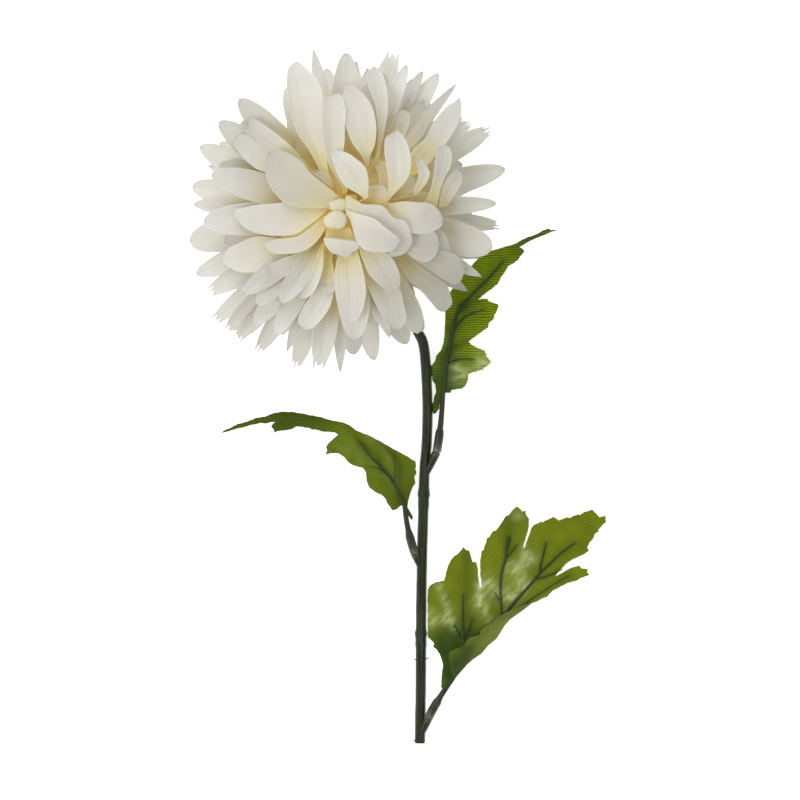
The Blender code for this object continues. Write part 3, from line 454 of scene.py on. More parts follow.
def dye(item: Object, **shares: Callable[[Vector], float]) -> None:
    """Stores numbers on the vertices, for the material to read, painted shade and painted sheen among them.

    Args:
        item: The object that gets them.
        **shares: Under each attribute's name, its value at a place.
    """
    places = [vertex.co / MM for vertex in item.data.vertices]
    for name, share in shares.items():
        attribute = item.data.attributes.new(name, "FLOAT", "POINT")
        attribute.data.foreach_set("value", [share(place) for place in places])


def settle(piece: Object, material: Material, slot: str, *nodes: str, crease: float = 40.0) -> None:
    """Shades and dresses a finished piece, ties it to the frame and reports it.

    Args:
        piece: The finished object, at the origin with its place in its mesh.
        material: Its finish.
        slot: The record's material slot it belongs to; not used.
        *nodes: The CAD nodes that it takes the place of.
        crease: The angle in degrees past which an edge stays sharp.
    """
    pick(piece)
    bpy.ops.object.shade_smooth_by_angle(angle=math.radians(crease))
    bpy.ops.object.transform_apply(location=True, rotation=True, scale=True)
    piece.data.materials.clear()
    piece.data.materials.append(material)
    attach(piece, BODY)
    if nodes:
        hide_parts(*nodes)
    log.info("%s: %d faces", piece.name, len(piece.data.polygons))


def mesh_piece(name: str, points: Sequence[Vector], faces: Sequence[Sequence[int]]) -> Object:
    """An object from points in millimetres and the faces between them.

    Args:
        name: The object's name.
        points: Its vertices.
        faces: Vertex numbers of each face.

    Returns:
        The new object, linked to the scene.
    """
    mesh = bpy.data.meshes.new(name)
    mesh.from_pydata([tuple(point * MM) for point in points], [], [tuple(face) for face in faces])
    return add_object(name, mesh)


def bend_copy(blank: Object, name: str, place_at: Callable[[float, float], Vector]) -> Object:
    """Copies a flat blank and bends the copy.

    Args:
        blank: The blank, whose corners are -1 and 1.
        name: The copy's name.
        place_at: Where the point at a place across and a share of the length goes.

    Returns:
        The shaped copy, with its own mesh.
    """
    copy = add_object(name, blank.data.copy())
    for vertex in copy.data.vertices:
        vertex.co = place_at(vertex.co.x, 0.5 + 0.5 * vertex.co.y) * MM
    return copy


def smooth_route(points: Route, step: float) -> list[Vector]:
    """Points along a Catmull-Rom curve through the route's own points.

    Args:
        points: The route's own points, each x, y and z.
        step: About how far apart the new points are.

    Returns:
        The denser route.
    """
    places = [Vector(point) for point in points]
    ends = [places[0] * 2 - places[1], *places, places[-1] * 2 - places[-2]]
    route = []
    for before, start, end, after in zip(ends, ends[1:], ends[2:], ends[3:]):
        pieces = max(1, round((end - start).length / step))
        for index in range(pieces):
            t = index / pieces
            route.append(
                0.5 * (2 * start + (end - before) * t
                       + (2 * before - 5 * start + 4 * end - after) * t ** 2
                       + (3 * start - before - 3 * end + after) * t ** 3)
            )
    return route + [places[-1]]


def nearest_on(line: Route, x: float, y: float) -> tuple[float, float, list[float]]:
    """Where a point lies beside a line.

    Args:
        line: The line's rows, each starting with x and y.
        x: The point's x.
        y: The point's y.

    Returns:
        The distance, the side (1 left, -1 right), and the line's row at the nearest place.
    """
    best = None
    place = Vector((x, y))
    for start, end in zip(line, line[1:]):
        first, second = Vector(start[:2]), Vector(end[:2])
        along = second - first
        share = clamp((place - first).dot(along) / along.length_squared)
        offset = place - (first + along * share)
        if best is None or offset.length < best[0]:
            side = 1.0 if along.cross(offset) >= 0 else -1.0
            best = (offset.length, side, [a + (b - a) * share for a, b in zip(start, end)])
    return best


def is_inside(outline: Sequence[Point], x: float, y: float) -> bool:
    """Whether a point lies inside a closed outline.

    Args:
        outline: The outline's corners.
        x: The point's x.
        y: The point's y.

    Returns:
        True for a point inside.
    """
    inside = False
    for (x1, y1), (x2, y2) in zip(outline, [*outline[1:], outline[0]]):
        if (y1 > y) != (y2 > y) and x < x1 + (y - y1) * (x2 - x1) / (y2 - y1):
            inside = not inside
    return inside


@dataclass(frozen=True)
class Drawn:
    """A bar drawn along a route, round or fluted."""

    route: Sequence[Vector]
    radii: Sequence[float]
    sides: int = 12
    flutes: int = 0
    flute_depth: float = 0.0

    def section(self) -> Object:
        """The bar's cross-section, one millimetre in radius."""
        bpy.ops.curve.primitive_nurbs_circle_add()
        section = bpy.context.object
        section.data.splines.clear()
        spline = section.data.splines.new("POLY")
        spline.points.add(self.sides - 1)
        for index, point in enumerate(spline.points):
            angle = math.tau * index / self.sides
            radius = (1.0 + self.flute_depth * math.cos(self.flutes * angle)) * MM
            point.co = (radius * math.cos(angle), radius * math.sin(angle), 0.0, 1.0)
        spline.use_cyclic_u = True
        return section

    def build(self, name: str) -> Object:
        """Draws the section along the route and makes a mesh of it.

        Args:
            name: The object's name.

        Returns:
            The closed bar.
        """
        deselect_all()
        section = self.section()
        bpy.ops.curve.primitive_nurbs_path_add()
        bar = bpy.context.object
        bar.name = name
        bar.data.splines.clear()
        spline = bar.data.splines.new("POLY")
        spline.points.add(len(self.route) - 1)
        for point, place, radius in zip(spline.points, self.route, self.radii):
            point.co = (*(place * MM), 1.0)
            point.radius = radius
        bar.data.dimensions = "3D"
        bar.data.twist_mode = "MINIMUM"
        bar.data.bevel_mode = "OBJECT"
        bar.data.bevel_object = section
        bar.data.use_fill_caps = True
        pick(bar)
        bpy.ops.object.convert(target="MESH")
        remove(section)
        merge_doubles(1e-6)
        return bar


class Board:
    """A node tree with short ways to add nodes and to feed their sockets."""

    def __init__(self, tree: bpy.types.NodeTree) -> None:
        """Takes the tree to work on."""
        self.tree = tree

    def feed(self, node: Node, inputs: Inputs) -> None:
        """Links a node's inputs to other sockets, or sets them to plain values.

        Args:
            node: The node.
            inputs: A socket, a number or a colour for each named or numbered input.
        """
        for key, value in inputs.items():
            socket = node.inputs[key]
            if isinstance(value, Socket):
                self.tree.links.new(value, socket)
            elif socket.type == "RGBA":
                socket.default_value = (*value, 1.0)
            else:
                socket.default_value = value

    def add(self, kind: str, inputs: Inputs | None = None, **settings: object) -> Node:
        """Adds a node, sets its properties and feeds its inputs.

        Args:
            kind: Blender's name of the node type, without ShaderNode.
            inputs: What feeds each named or numbered input.
            **settings: The node's properties.

        Returns:
            The new node.
        """
        node = self.tree.nodes.new("ShaderNode" + kind)
        for name, value in settings.items():
            setattr(node, name, value)
        self.feed(node, inputs or {})
        return node

    def math(self, operation: str, *values: object) -> Socket:
        """The output of a Math node that is fed with sockets or numbers in order."""
        return self.add("Math", dict(enumerate(values)), operation=operation).outputs[0]

    def mix(self, factor: object, first: object, second: object, kind: str = "MIX") -> Socket:
        """Two colours mixed by a factor, which is the share of the second one."""
        inputs = {"Factor": factor, 6: first, 7: second}
        return self.add("Mix", inputs, data_type="RGBA", blend_type=kind).outputs[2]

    def noise(self, vector: object, scale: object, detail: float = 3.0) -> Socket:
        """A noise texture's value at a place, with detail as its number of octaves."""
        return self.add("TexNoise", {"Vector": vector, "Scale": scale, "Detail": detail}).outputs["Fac"]

    def spread(self, value: object, span: Point, onto: Point = (0.0, 1.0)) -> Socket:
        """A value mapped from one span onto another, held at its ends."""
        return self.add("MapRange", dict(enumerate((value, *span, *onto))), clamp=True).outputs[0]

    def stretched(self, vector: object, scale: Colour, turn: float = 0.0) -> Socket:
        """A vector scaled along each axis and turned about the vertical by degrees."""
        inputs = {"Vector": vector, "Scale": scale, "Rotation": (0.0, 0.0, math.radians(turn))}
        return self.add("Mapping", inputs).outputs["Vector"]

    def millimetres(self, turn: float = 0.0) -> Socket:
        """The place on the object in millimetres, turned about the vertical by degrees."""
        return self.stretched(self.add("TexCoord").outputs["Object"], (1 / MM, 1 / MM, 1 / MM), turn)

    def attribute(self, name: str) -> Socket:
        """A number that the piece carries on its vertices."""
        return self.add("Attribute", attribute_name=name).outputs["Fac"]

    def bump(self, height: object, depth: float, **under: Socket) -> Socket:
        """A normal bent by a height from 0 to 1.

        Args:
            height: The height.
            depth: How deep the relief is, in millimetres.
            **under: As Normal, a normal that this one adds to.

        Returns:
            The bent normal.
        """
        return self.add("Bump", {"Distance": depth * MM, "Height": height, **under}).outputs["Normal"]


def open_group(name: str, inputs: dict[str, str], outputs: dict[str, str]) -> tuple[Board, Node, Node]:
    """Starts a shader node group with named sockets.

    Args:
        name: The group's name.
        inputs: Name and socket type of each input.
        outputs: Name and socket type of each output.

    Returns:
        The group's board, its input node and its output node.
    """
    tree = bpy.data.node_groups.new(name, "ShaderNodeTree")
    for way, sockets in (("INPUT", inputs), ("OUTPUT", outputs)):
        for label, kind in sockets.items():
            tree.interface.new_socket(label, in_out=way, socket_type="NodeSocket" + kind)
    return Board(tree), tree.nodes.new("NodeGroupInput"), tree.nodes.new("NodeGroupOutput")


def make_thread_group() -> bpy.types.NodeTree:
    """Woven cloth: warp ribs across the first axis and finer weft threads across the second."""
    board, entry, leave = open_group(
        "woven_threads",
        {"Place": "Vector", "Rib Pitch": "Float", "Thread Pitch": "Float", "Waver": "Float"},
        {"Height": "Float", "Rib": "Float"},
    )
    given = entry.outputs
    waver = board.math("MULTIPLY", board.noise(given["Place"], 0.09, 2.0), given["Waver"])
    parts = board.add("SeparateXYZ", {0: given["Place"]}).outputs
    waves = []
    for axis, pitch in (("X", "Rib Pitch"), ("Y", "Thread Pitch")):
        turned = board.math("MULTIPLY", board.math("ADD", parts[axis], waver), math.tau)
        waves.append(board.math("SINE", board.math("DIVIDE", turned, given[pitch])))
    rib = board.spread(waves[0], (-1.0, 1.0))
    both = board.math("MULTIPLY_ADD", waves[1], 0.14, rib)
    board.feed(leave, {"Height": board.math("MULTIPLY_ADD", both, 0.75, 0.12), "Rib": rib})
    return board.tree


def make_mottle_group() -> bpy.types.NodeTree:
    """Uneven dye or pigment: a soft mix of two colours in large and small spots."""
    board, entry, leave = open_group(
        "soft_mottle",
        {"Place": "Vector", "Spot Size": "Float", "First": "Color", "Second": "Color"},
        {"Colour": "Color", "Spots": "Float"},
    )
    given = entry.outputs
    scale = board.math("DIVIDE", 1.0, given["Spot Size"])
    large = board.spread(board.noise(given["Place"], scale, 2.0), (0.32, 0.68))
    small = board.noise(given["Place"], board.math("MULTIPLY", scale, 5.0), 4.0)
    spots = board.math("ADD", board.math("MULTIPLY", large, 0.7), board.math("MULTIPLY", small, 0.3))
    board.feed(leave, {"Colour": board.mix(spots, given["First"], given["Second"]), "Spots": spots})
    return board.tree


class Effects:
    """The node groups that more than one finish uses, and short ways to place them."""

    def __init__(self) -> None:
        """Builds each group once."""
        self.threads = make_thread_group()
        self.mottle = make_mottle_group()

    def coloured(self, board: Board, place: Socket, size: float, first: Colour,
             second: Colour) -> Sequence[Socket]:
        """Places the uneven dye.

        Args:
            board: The material's board.
            place: Where it is read, in millimetres.
            size: How large its spots are.
            first: The dye between the spots.
            second: The dye of the spots.

        Returns:
            Its colour and its spots.
        """
        inputs = {"Place": place, "Spot Size": size, "First": first, "Second": second}
        return board.add("Group", inputs, node_tree=self.mottle).outputs.values()

    def woven(self, board: Board, place: Socket, rib_pitch: float, thread_pitch: float,
              waver: float) -> Sequence[Socket]:
        """Places the weave.

        Args:
            board: The material's board.
            place: Where it is read, in millimetres.
            rib_pitch: From rib to rib.
            thread_pitch: From thread to thread.
            waver: How far they stray.

        Returns:
            Its height and its ribs.
        """
        inputs = {"Place": place, "Rib Pitch": rib_pitch, "Thread Pitch": thread_pitch, "Waver": waver}
        return board.add("Group", inputs, node_tree=self.threads).outputs.values()


@dataclass(frozen=True)
class Finish:
    """A material with one Principled shader, which each kind of finish paints in its own way."""

    name: str
    roughness: float = 0.5
    roughness_swing: Point = (0.0, 0.0)
    specular: float = 0.5
    through: float = 0.0

    def paint(self, board: Board, effects: Effects) -> Inputs:
        """What feeds the shader's inputs, Base Color among them."""
        raise NotImplementedError

    def uneven(self, board: Board, spots: Socket) -> Socket:
        """The roughness, smoother off the spots and rougher on them."""
        less, more = self.roughness_swing
        return board.spread(spots, (0.0, 1.0), (self.roughness - less, self.roughness + more))

    def make(self, effects: Effects) -> Material:
        """Builds the material, with a Translucent share where light comes through the cloth.

        Args:
            effects: The shared node groups.

        Returns:
            The finished material.
        """
        material = bpy.data.materials.new(self.name)
        material.use_nodes = True
        nodes = material.node_tree.nodes
        board = Board(material.node_tree)
        shader = nodes["Principled BSDF"]
        painted = self.paint(board, effects)
        board.feed(shader, {"Roughness": self.roughness, "Specular IOR Level": self.specular, **painted})
        if self.through:
            glow = board.add("BsdfTranslucent", {"Color": painted["Base Color"]})
            both = {"Fac": self.through, 1: shader.outputs[0], 2: glow.outputs[0]}
            board.feed(nodes["Material Output"], {"Surface": board.add("MixShader", both).outputs[0]})
        return material


@dataclass(frozen=True)
class PetalFabric(Finish):
    """Fine cream-white polyester: warm yellow at the root, whiter at the tip, with faint lengthwise veins.
    The yellow is partly dye and partly painted warm shade, and some petals carry painted shade.

    The light of inner_light is a painted glow: it stands for what many thin petals scatter among themselves.
    """

    roughness: float = 0.62
    roughness_swing: Point = (0.06, 0.1)
    specular: float = 0.25
    through: float = 0.55
    root: Colour = (0.95, 0.79, 0.23)
    throat: Colour = (0.93, 0.888, 0.66)
    body: Colour = (0.895, 0.887, 0.85)
    tip: Colour = (0.875, 0.873, 0.864)
    stops: tuple[float, ...] = (0.16, 0.29, 0.5, 0.85)
    unspotted: Colour = (1.0, 1.0, 1.0)
    spotted: Colour = (0.94, 0.93, 0.9)
    spot_size: float = 14.0
    # The darker colour, for petals that are darker at random and for painted shade.
    shaded: Colour = (0.72, 0.715, 0.645)
    # The depths' share of the root's yellow, as dye and painted warm shade, then the colour and strength of
    # their painted glow.
    depth_dye_and_shade: float = 0.85
    inner_glow_colour: Colour = (1.0, 0.84, 0.4)
    inner_light: float = 0.09
    veins: float = 7.0
    vein_waver: float = 1.6
    vein_depth: float = 0.18
    rib_pitch: float = 0.62
    thread_pitch: float = 0.45
    thread_waver: float = 2.0
    thread_depth: float = 0.012
    sheen: float = 0.1
    sheen_roughness: float = 0.4

    def paint(self, board: Board, effects: Effects) -> Inputs:
        """Dyes the petal along its length, yellows its depths with dye and painted warm shade, darkens petals
        at random and with painted shade, adds a painted glow in the depths, and raises veins over its weave.

        Args:
            board: The material's board.
            effects: The shared node groups.

        Returns:
            What feeds the shader's inputs.
        """
        parts = board.add("SeparateXYZ", {0: board.add("UVMap", uv_map="UVMap").outputs["UV"]}).outputs
        ramp = board.add("ValToRGB", {"Fac": parts["Y"]})
        stops = ramp.color_ramp.elements
        while len(stops) < len(self.stops):
            stops.new(0.5)
        for stop, place, colour in zip(stops, self.stops, (self.root, self.throat, self.body, self.tip)):
            stop.position = place
            stop.color = (*colour, 1.0)
        place = board.millimetres()
        depth = board.attribute("depth")
        faded, spots = effects.coloured(board, place, self.spot_size, self.unspotted, self.spotted)
        coloured = board.mix(1.0, ramp.outputs["Color"], faded, "MULTIPLY")
        # Yellower in the bloom's depths: partly dye, partly painted warm shade.
        coloured = board.mix(board.math("MULTIPLY", depth, self.depth_dye_and_shade), coloured, self.root)
        # Darker petals: some at random, and painted shade where it is marked.
        coloured = board.mix(board.attribute("tone"), coloured, board.mix(1.0, coloured, self.shaded, "MULTIPLY"))

        wave = board.math("SINE", board.math("MULTIPLY", parts["X"], math.tau * self.veins))
        warped = board.math("MULTIPLY", board.noise(place, 0.35), self.vein_waver)
        vein = board.spread(board.math("ADD", wave, warped), (-1.0, 1.0 + self.vein_waver))
        height, _ = effects.woven(board, place, self.rib_pitch, self.thread_pitch, self.thread_waver)
        return {
            "Base Color": coloured,
            "Roughness": self.uneven(board, spots),
            "Normal": board.bump(height, self.thread_depth, Normal=board.bump(vein, self.vein_depth)),
            # Painted glow in the depths, for the light that the petals scatter among themselves.
            "Emission Color": board.mix(depth, (0.0, 0.0, 0.0), self.inner_glow_colour),
            "Emission Strength": self.inner_light,
            "Sheen Weight": self.sheen,
            "Sheen Roughness": self.sheen_roughness,
        }


@dataclass(frozen=True)
class LeafWeave(Finish):
    """Coated olive cloth with parallel ribs, painted shade at the base and in creases, and pale patches of
    painted satin sheen with some scuffing.
    """

    roughness: float = 0.4
    roughness_swing: Point = (0.07, 0.1)
    specular: float = 0.03
    through: float = 0.15
    light: Colour = (0.215, 0.262, 0.012)
    middle: Colour = (0.13, 0.165, 0.009)
    dark: Colour = (0.1, 0.13, 0.006)
    # The colour of the painted shade at the base, in the pleats' grooves and beside the ribs.
    base: Colour = (0.03, 0.06, 0.012)
    # The colour of the pale patches: painted satin sheen, with some scuffing.
    worn: Colour = (0.52, 0.59, 0.26)
    spot_size: float = 9.0
    rib_turn: float = 0.0
    rib_pitch: float = 1.1
    rib_depth: float = 0.05
    rib_tint: float = 0.3
    thread_pitch: float = 0.42
    thread_waver: float = 3.0
    patch_stretch: Colour = (1.0, 0.34, 1.0)
    patch_scale: float = 0.45

    def paint(self, board: Board, effects: Effects) -> Inputs:
        """Darkens the cloth between its woven ribs and with painted shade, and lays on pale stretched patches
        of painted satin sheen with some scuffing.

        Args:
            board: The material's board.
            effects: The shared node groups.

        Returns:
            What feeds the shader's inputs.
        """
        place = board.millimetres(self.rib_turn)
        cloth, spots = effects.coloured(board, place, self.spot_size, self.light, self.middle)
        height, rib = effects.woven(board, place, self.rib_pitch, self.thread_pitch, self.thread_waver)
        grooves = board.math("MULTIPLY", board.math("SUBTRACT", 1.0, rib), self.rib_tint)
        cloth = board.mix(grooves, cloth, self.dark)
        held = board.spread(spots, (0.0, 1.0), (1.0, 0.75))
        # Painted shade from the shade attribute, held back a little on the mottle's spots.
        cloth = board.mix(board.math("MULTIPLY", board.attribute("shade"), held), cloth, self.base)
        # Pale stretched patches of painted satin sheen, with some scuffing, where the cloth is marked for
        # them.
        patches = board.noise(board.stretched(place, self.patch_stretch), self.patch_scale)
        patches = board.spread(patches, (0.4, 0.6), (0.3, 1.0))
        cloth = board.mix(board.math("MULTIPLY", board.attribute("worn"), patches), cloth, self.worn)
        return {
            "Base Color": cloth,
            "Roughness": self.uneven(board, spots),
            "Normal": board.bump(height, self.rib_depth),
        }


@dataclass(frozen=True)
class MouldedPlastic(Finish):
    """Dark green moulded plastic in faint lengthwise streaks, with pale stress marks where it bends."""

    roughness: float = 0.32
    roughness_swing: Point = (0.08, 0.14)
    specular: float = 0.22
    first: Colour = (0.004, 0.007, 0.003)
    second: Colour = (0.029, 0.037, 0.013)
    rib: Colour = (0.022, 0.042, 0.007)
    stress: Colour = (0.32, 0.3, 0.22)
    streak: Colour = (1.0, 0.07, 1.0)
    streak_size: float = 1.3
    relief: float = 0.06

    def paint(self, board: Board, effects: Effects) -> Inputs:
        """Streaks the plastic along the stem, greens it over a leaf and pales it where it is stressed.

        Args:
            board: The material's board.
            effects: The shared node groups.

        Returns:
            What feeds the shader's inputs.
        """
        place = board.millimetres()
        drawn = board.stretched(place, self.streak)
        streaks, spots = effects.coloured(board, drawn, self.streak_size, self.first, self.second)
        patches = board.spread(board.noise(place, 1.4, 4.0), (0.4, 0.6), (0.2, 1.0))
        marks = board.math("MULTIPLY", board.attribute("stress"), patches)
        ribbed = board.mix(board.attribute("over_leaf"), streaks, self.rib)
        return {
            "Base Color": board.mix(marks, ribbed, self.stress),
            "Roughness": self.uneven(board, spots),
            "Normal": board.bump(board.noise(drawn, 2.2, 4.0), self.relief),
        }


@dataclass(frozen=True)
class GreyWire(Finish):
    """Dull drawn wire with darker spots where its coating went."""

    roughness: float = 0.38
    roughness_swing: Point = (0.08, 0.22)
    bright: Colour = (0.5, 0.49, 0.46)
    dimmed: Colour = (0.22, 0.19, 0.15)

    def paint(self, board: Board, effects: Effects) -> Inputs:
        """Spots the metal with its duller colour."""
        colour, spots = effects.coloured(board, board.millimetres(), 0.5, self.bright, self.dimmed)
        return {"Base Color": colour, "Roughness": self.uneven(board, spots), "Metallic": 1.0}


@dataclass(frozen=True)
class BareThread(Finish):
    """Undyed ends of the weave, where an edge frays."""

    roughness: float = 0.7
    first: Colour = (0.62, 0.64, 0.5)
    second: Colour = (0.36, 0.42, 0.16)
    relief: float = 0.02

    def paint(self, board: Board, effects: Effects) -> Inputs:
        """Leaves some of the leaf's green in the pale thread."""
        place = board.millimetres()
        colour, _ = effects.coloured(board, place, 0.8, self.first, self.second)
        return {"Base Color": colour, "Normal": board.bump(board.noise(place, 3.0, 2.0), self.relief)}


@dataclass(frozen=True)
class Tabletop(Finish):
    """A matt white ground that gives off some light of its own, so that it stays white under the flower."""

    roughness: float = 0.9
    specular: float = 0.0
    first: Colour = (0.74, 0.74, 0.74)
    second: Colour = (0.76, 0.76, 0.76)
    light: float = 0.7

    def paint(self, board: Board, effects: Effects) -> Inputs:
        """Grains the white a little.

        Args:
            board: The material's board.
            effects: The shared node groups.

        Returns:
            What feeds the shader's inputs.
        """
        grain = board.noise(board.add("TexCoord").outputs["Object"], 60.0)
        return {
            "Base Color": board.mix(grain, self.first, self.second),
            "Emission Color": (1.0, 1.0, 1.0),
            "Emission Strength": self.light,
        }


@dataclass(frozen=True)
class Pressing:
    """How the heated tool left a petal: its outline, its hollow and what its tip does."""

    widest: float = 0.72
    foot: float = 0.5
    end: float = 2.3
    point: float = 1.0
    cup: float = 0.42
    curl: float = 18.0
    curl_from: float = 0.7
    scallop: float = 0.0
    cut: float = 0.0


class PetalForm(Enum):
    """The pressings that the bloom's petals show."""

    SPOON = Pressing()
    LOW = Pressing(cup=0.2, curl=-6.0)
    BLUNT = Pressing(widest=0.76, foot=0.55, end=3.0, point=0.85, cup=0.34, curl=10.0)
    LANCE = Pressing(widest=0.62, foot=0.36, end=1.9, point=1.5, cup=0.42, curl=6.0)
    STRAP = Pressing(widest=0.66, foot=0.62, end=2.2, cup=0.6, curl=14.0)
    RAGGED = Pressing(widest=0.72, foot=0.4, end=3.2, point=0.8, cup=0.36, curl=6.0, scallop=0.026, cut=0.42)


def dome(reach: float) -> float:
    """Height of the bloom's front surface at a reach from its axis."""
    return HUB_HEIGHT + DOME_RISE * math.sqrt(max(0.0, DOME_RADIUS ** 2 - reach ** 2))


def from_axis(reach: float, azimuth: float, height: float) -> Vector:
    """A point by its reach and direction from the bloom's axis.

    Args:
        reach: How far it is from the axis.
        azimuth: Its direction in degrees.
        height: Its height.

    Returns:
        The place in millimetres.
    """
    turn = math.radians(azimuth)
    return Vector((BLOOM_X + reach * math.cos(turn), BLOOM_Y + reach * math.sin(turn), height))


def notch(azimuth: float) -> float:
    """How far the petals under the rim draw in at a direction, where the rim shows a gap.

    Args:
        azimuth: The direction from the bloom's axis in degrees.

    Returns:
        The length in millimetres.
    """
    return sum(
        depth * bell((azimuth - middle + 180.0) % 360.0 - 180.0, spread)
        for middle, depth, spread in RIM_NOTCHES
    )


def edge_ripple(height: float, across: float, turns: float) -> float:
    """How far a petal's edge wavers off its surface.

    Args:
        height: How far at most.
        across: From -1 at one edge to 1 at the other.
        turns: How many waves have passed.

    Returns:
        The height in millimetres.
    """
    return height * across ** 2 * math.sin(math.tau * turns + 2.0 * across)


def fine_pleats(height: float, across: float, phase: float) -> float:
    """The height of a petal's lengthwise pleats, which fade out towards its edges.

    Args:
        height: Their height in the petal's middle.
        across: From -1 at one edge to 1 at the other.
        phase: Where they start, in waves.

    Returns:
        The height in millimetres.
    """
    return height * math.cos(math.tau * (1.25 * across + phase)) * (1 - abs(across))


@dataclass(frozen=True)
class Petal:
    """One petal: a middle line from the hub over its shoulder to its tip, and the blade pressed round it."""

    root: Vector
    rise: Vector
    shoulder: Vector
    tip: Vector
    width: float
    pressing: Pressing
    roll: float = 0.0
    ripple: float = 0.04
    phase: float = 0.0
    warm: float = 0.0
    dimmed: float = 0.0

    def middle(self, along: float) -> Vector:
        """The middle line's place at a share of the petal's length."""
        back = 1 - along
        start = self.root * back ** 3 + self.rise * 3 * back ** 2 * along
        return start + self.shoulder * 3 * back * along ** 2 + self.tip * along ** 3

    def stations(self, share: float) -> tuple[float, float]:
        """Spaces the blade's rows evenly round its rounded end.

        Args:
            share: From 0 at the root's row to 1 at the tip's.

        Returns:
            The share of the petal's length, and the half width there.
        """
        shaft = 0.68
        widest = self.pressing.widest
        if share <= shaft:
            t = share / shaft
            grown = self.pressing.foot + (1 - self.pressing.foot) * t * t * (3 - 2 * t)
            return widest * t, self.width / 2 * grown
        angle = min(1.0, (share - shaft) / (1 - shaft)) * math.pi / 2
        along = widest + (1 - widest) * math.sin(angle) ** (2 / self.pressing.end)
        return along, self.width / 2 * max(self.pressing.cut, math.cos(angle)) ** self.pressing.point

    def row_frame(self, along: float) -> tuple[Vector, Vector, Vector]:
        """Where a row lies, with the tip curled up out of the middle line.

        Args:
            along: Share of the petal's length.

        Returns:
            The row's middle, its sideways direction and the direction its hollow faces.
        """
        bend_at = self.pressing.curl_from
        held = min(along, bend_at)
        centre = self.middle(held)
        ahead = (self.middle(held + 0.02) - self.middle(held - 0.02)).normalized()
        heading = ahead + (self.tip - self.root).normalized() * 0.35
        side = Vector((-heading.y, heading.x, 0.0))
        side = (side - ahead * side.dot(ahead)).normalized()
        up = ahead.cross(side)
        if along > bend_at:
            turn = math.radians(self.pressing.curl) * (along - bend_at) / (1 - bend_at)
            length = (self.tip - self.middle(bend_at)).length * (along - bend_at) / (1 - bend_at)
            centre += ahead * length * math.sin(turn) / turn + up * length * (1 - math.cos(turn)) / turn
            up = up * math.cos(turn) - ahead * math.sin(turn)
        turn = math.radians(self.roll) * min(1.0, along / 0.6)
        rolled = side * math.cos(turn) + up * math.sin(turn)
        return centre, rolled, up * math.cos(turn) - side * math.sin(turn)

    def place(self, across: float, share: float) -> Vector:
        """A point of the blade's middle surface.

        Args:
            across: From -1 at one edge to 1 at the other.
            share: From 0 at the root's row to 1 at the tip's.

        Returns:
            The place in millimetres.
        """
        along, half = self.stations(share)
        teeth = abs(math.sin(4.0 * across + 9.0 * self.phase))
        teeth += 0.4 * math.sin(11.0 * across + 5.0 * self.phase)
        rounding = max(0.0, (along - self.pressing.widest) / (1 - self.pressing.widest))
        along -= self.pressing.scallop * teeth * rounding ** 2
        centre, side, up = self.row_frame(along)
        widest = self.width / 2
        deep = self.pressing.cup * (0.5 + 0.7 * along) * self.width / 2 * (0.35 + 0.65 * half / widest)
        lift = deep * (abs(across) * half / widest) ** HOLLOW
        lift += edge_ripple(self.ripple * half, across, 2.1 * along + self.phase)
        lift += fine_pleats(0.16, across, self.phase) * min(1.0, 2.0 * along)
        return centre + side * half * across + up * lift


def clear_height(x: float, y: float) -> float:
    """The lowest that a petal may lie: the table, the stem's back, or the leaf behind the bloom.

    Args:
        x: The place's x.
        y: The place's y.

    Returns:
        The height in millimetres.
    """
    distance, _, row = nearest_on(STEM_ROUTE[STEM_ROUTE_UNDER_BLOOM:], x, y)
    over_stem = row[2] + STEM_RADIUS + OVER_STEM - max(0.0, distance - STEM_RADIUS - BESIDE_STEM)
    distance, _, row = nearest_on(UPPER_MIDRIB, x, y)
    over_leaf = row[2] + OVER_LEAF - LEAF_SLOPE * max(0.0, distance - LEAF_CROWN)
    if distance > LEAF_HALF_WIDTH:
        over_leaf = 0.0
    return max(OVER_TABLE, over_stem, over_leaf)


def warm_depth(place: Vector) -> float:
    """How deep a place lies among the petals, where they turn yellower, with dye and painted warm shade, and
    show a painted glow: from 0 at the front to 1 inside.

    Args:
        place: The place in millimetres.

    Returns:
        The depth's share.
    """
    reach = math.hypot(place.x - BLOOM_X, place.y - BLOOM_Y)
    below = (dome(reach) - WARM_BELOW - place.z) / WARM_DEPTH
    near = (WARM_REACH - reach) / WARM_FADE
    return clamp(below) * clamp(near)


def painted_shade_at(place: Vector) -> float:
    """How much painted shade the spots in PAINTED_SHADE_SPOTS lay on the petals.

    Args:
        place: The place in millimetres.

    Returns:
        The share of the darker colour, as painted shade.
    """
    x, y = place.x - BLOOM_X, place.y - BLOOM_Y
    return sum(
        strength * math.exp(-((x - middle_x) ** 2 + (y - middle_y) ** 2) / radius ** 2)
        for middle_x, middle_y, radius, strength in PAINTED_SHADE_SPOTS
    )


def along_line(line: Sequence[Point], share: float) -> Vector:
    """A point of the smooth line through some points.

    Args:
        line: The points.
        share: Share of the line's length, from 0 to 1.

    Returns:
        The place as x and y.
    """
    places = [Vector(point) for point in line]
    lengths = [(after - before).length for before, after in zip(places, places[1:])]
    left = share * sum(lengths)
    index = 0
    while index < len(lengths) - 1 and left > lengths[index]:
        left -= lengths[index]
        index += 1
    step = min(1.0, left / lengths[index])
    start, end = places[index], places[index + 1]
    before, after = places[max(0, index - 1)], places[min(len(places) - 1, index + 2)]
    bent = (before * 2 - start * 5 + end * 4 - after) * step ** 2
    bent += (start * 3 - before - end * 3 + after) * step ** 3
    return (start * 2 + (end - before) * step + bent) / 2


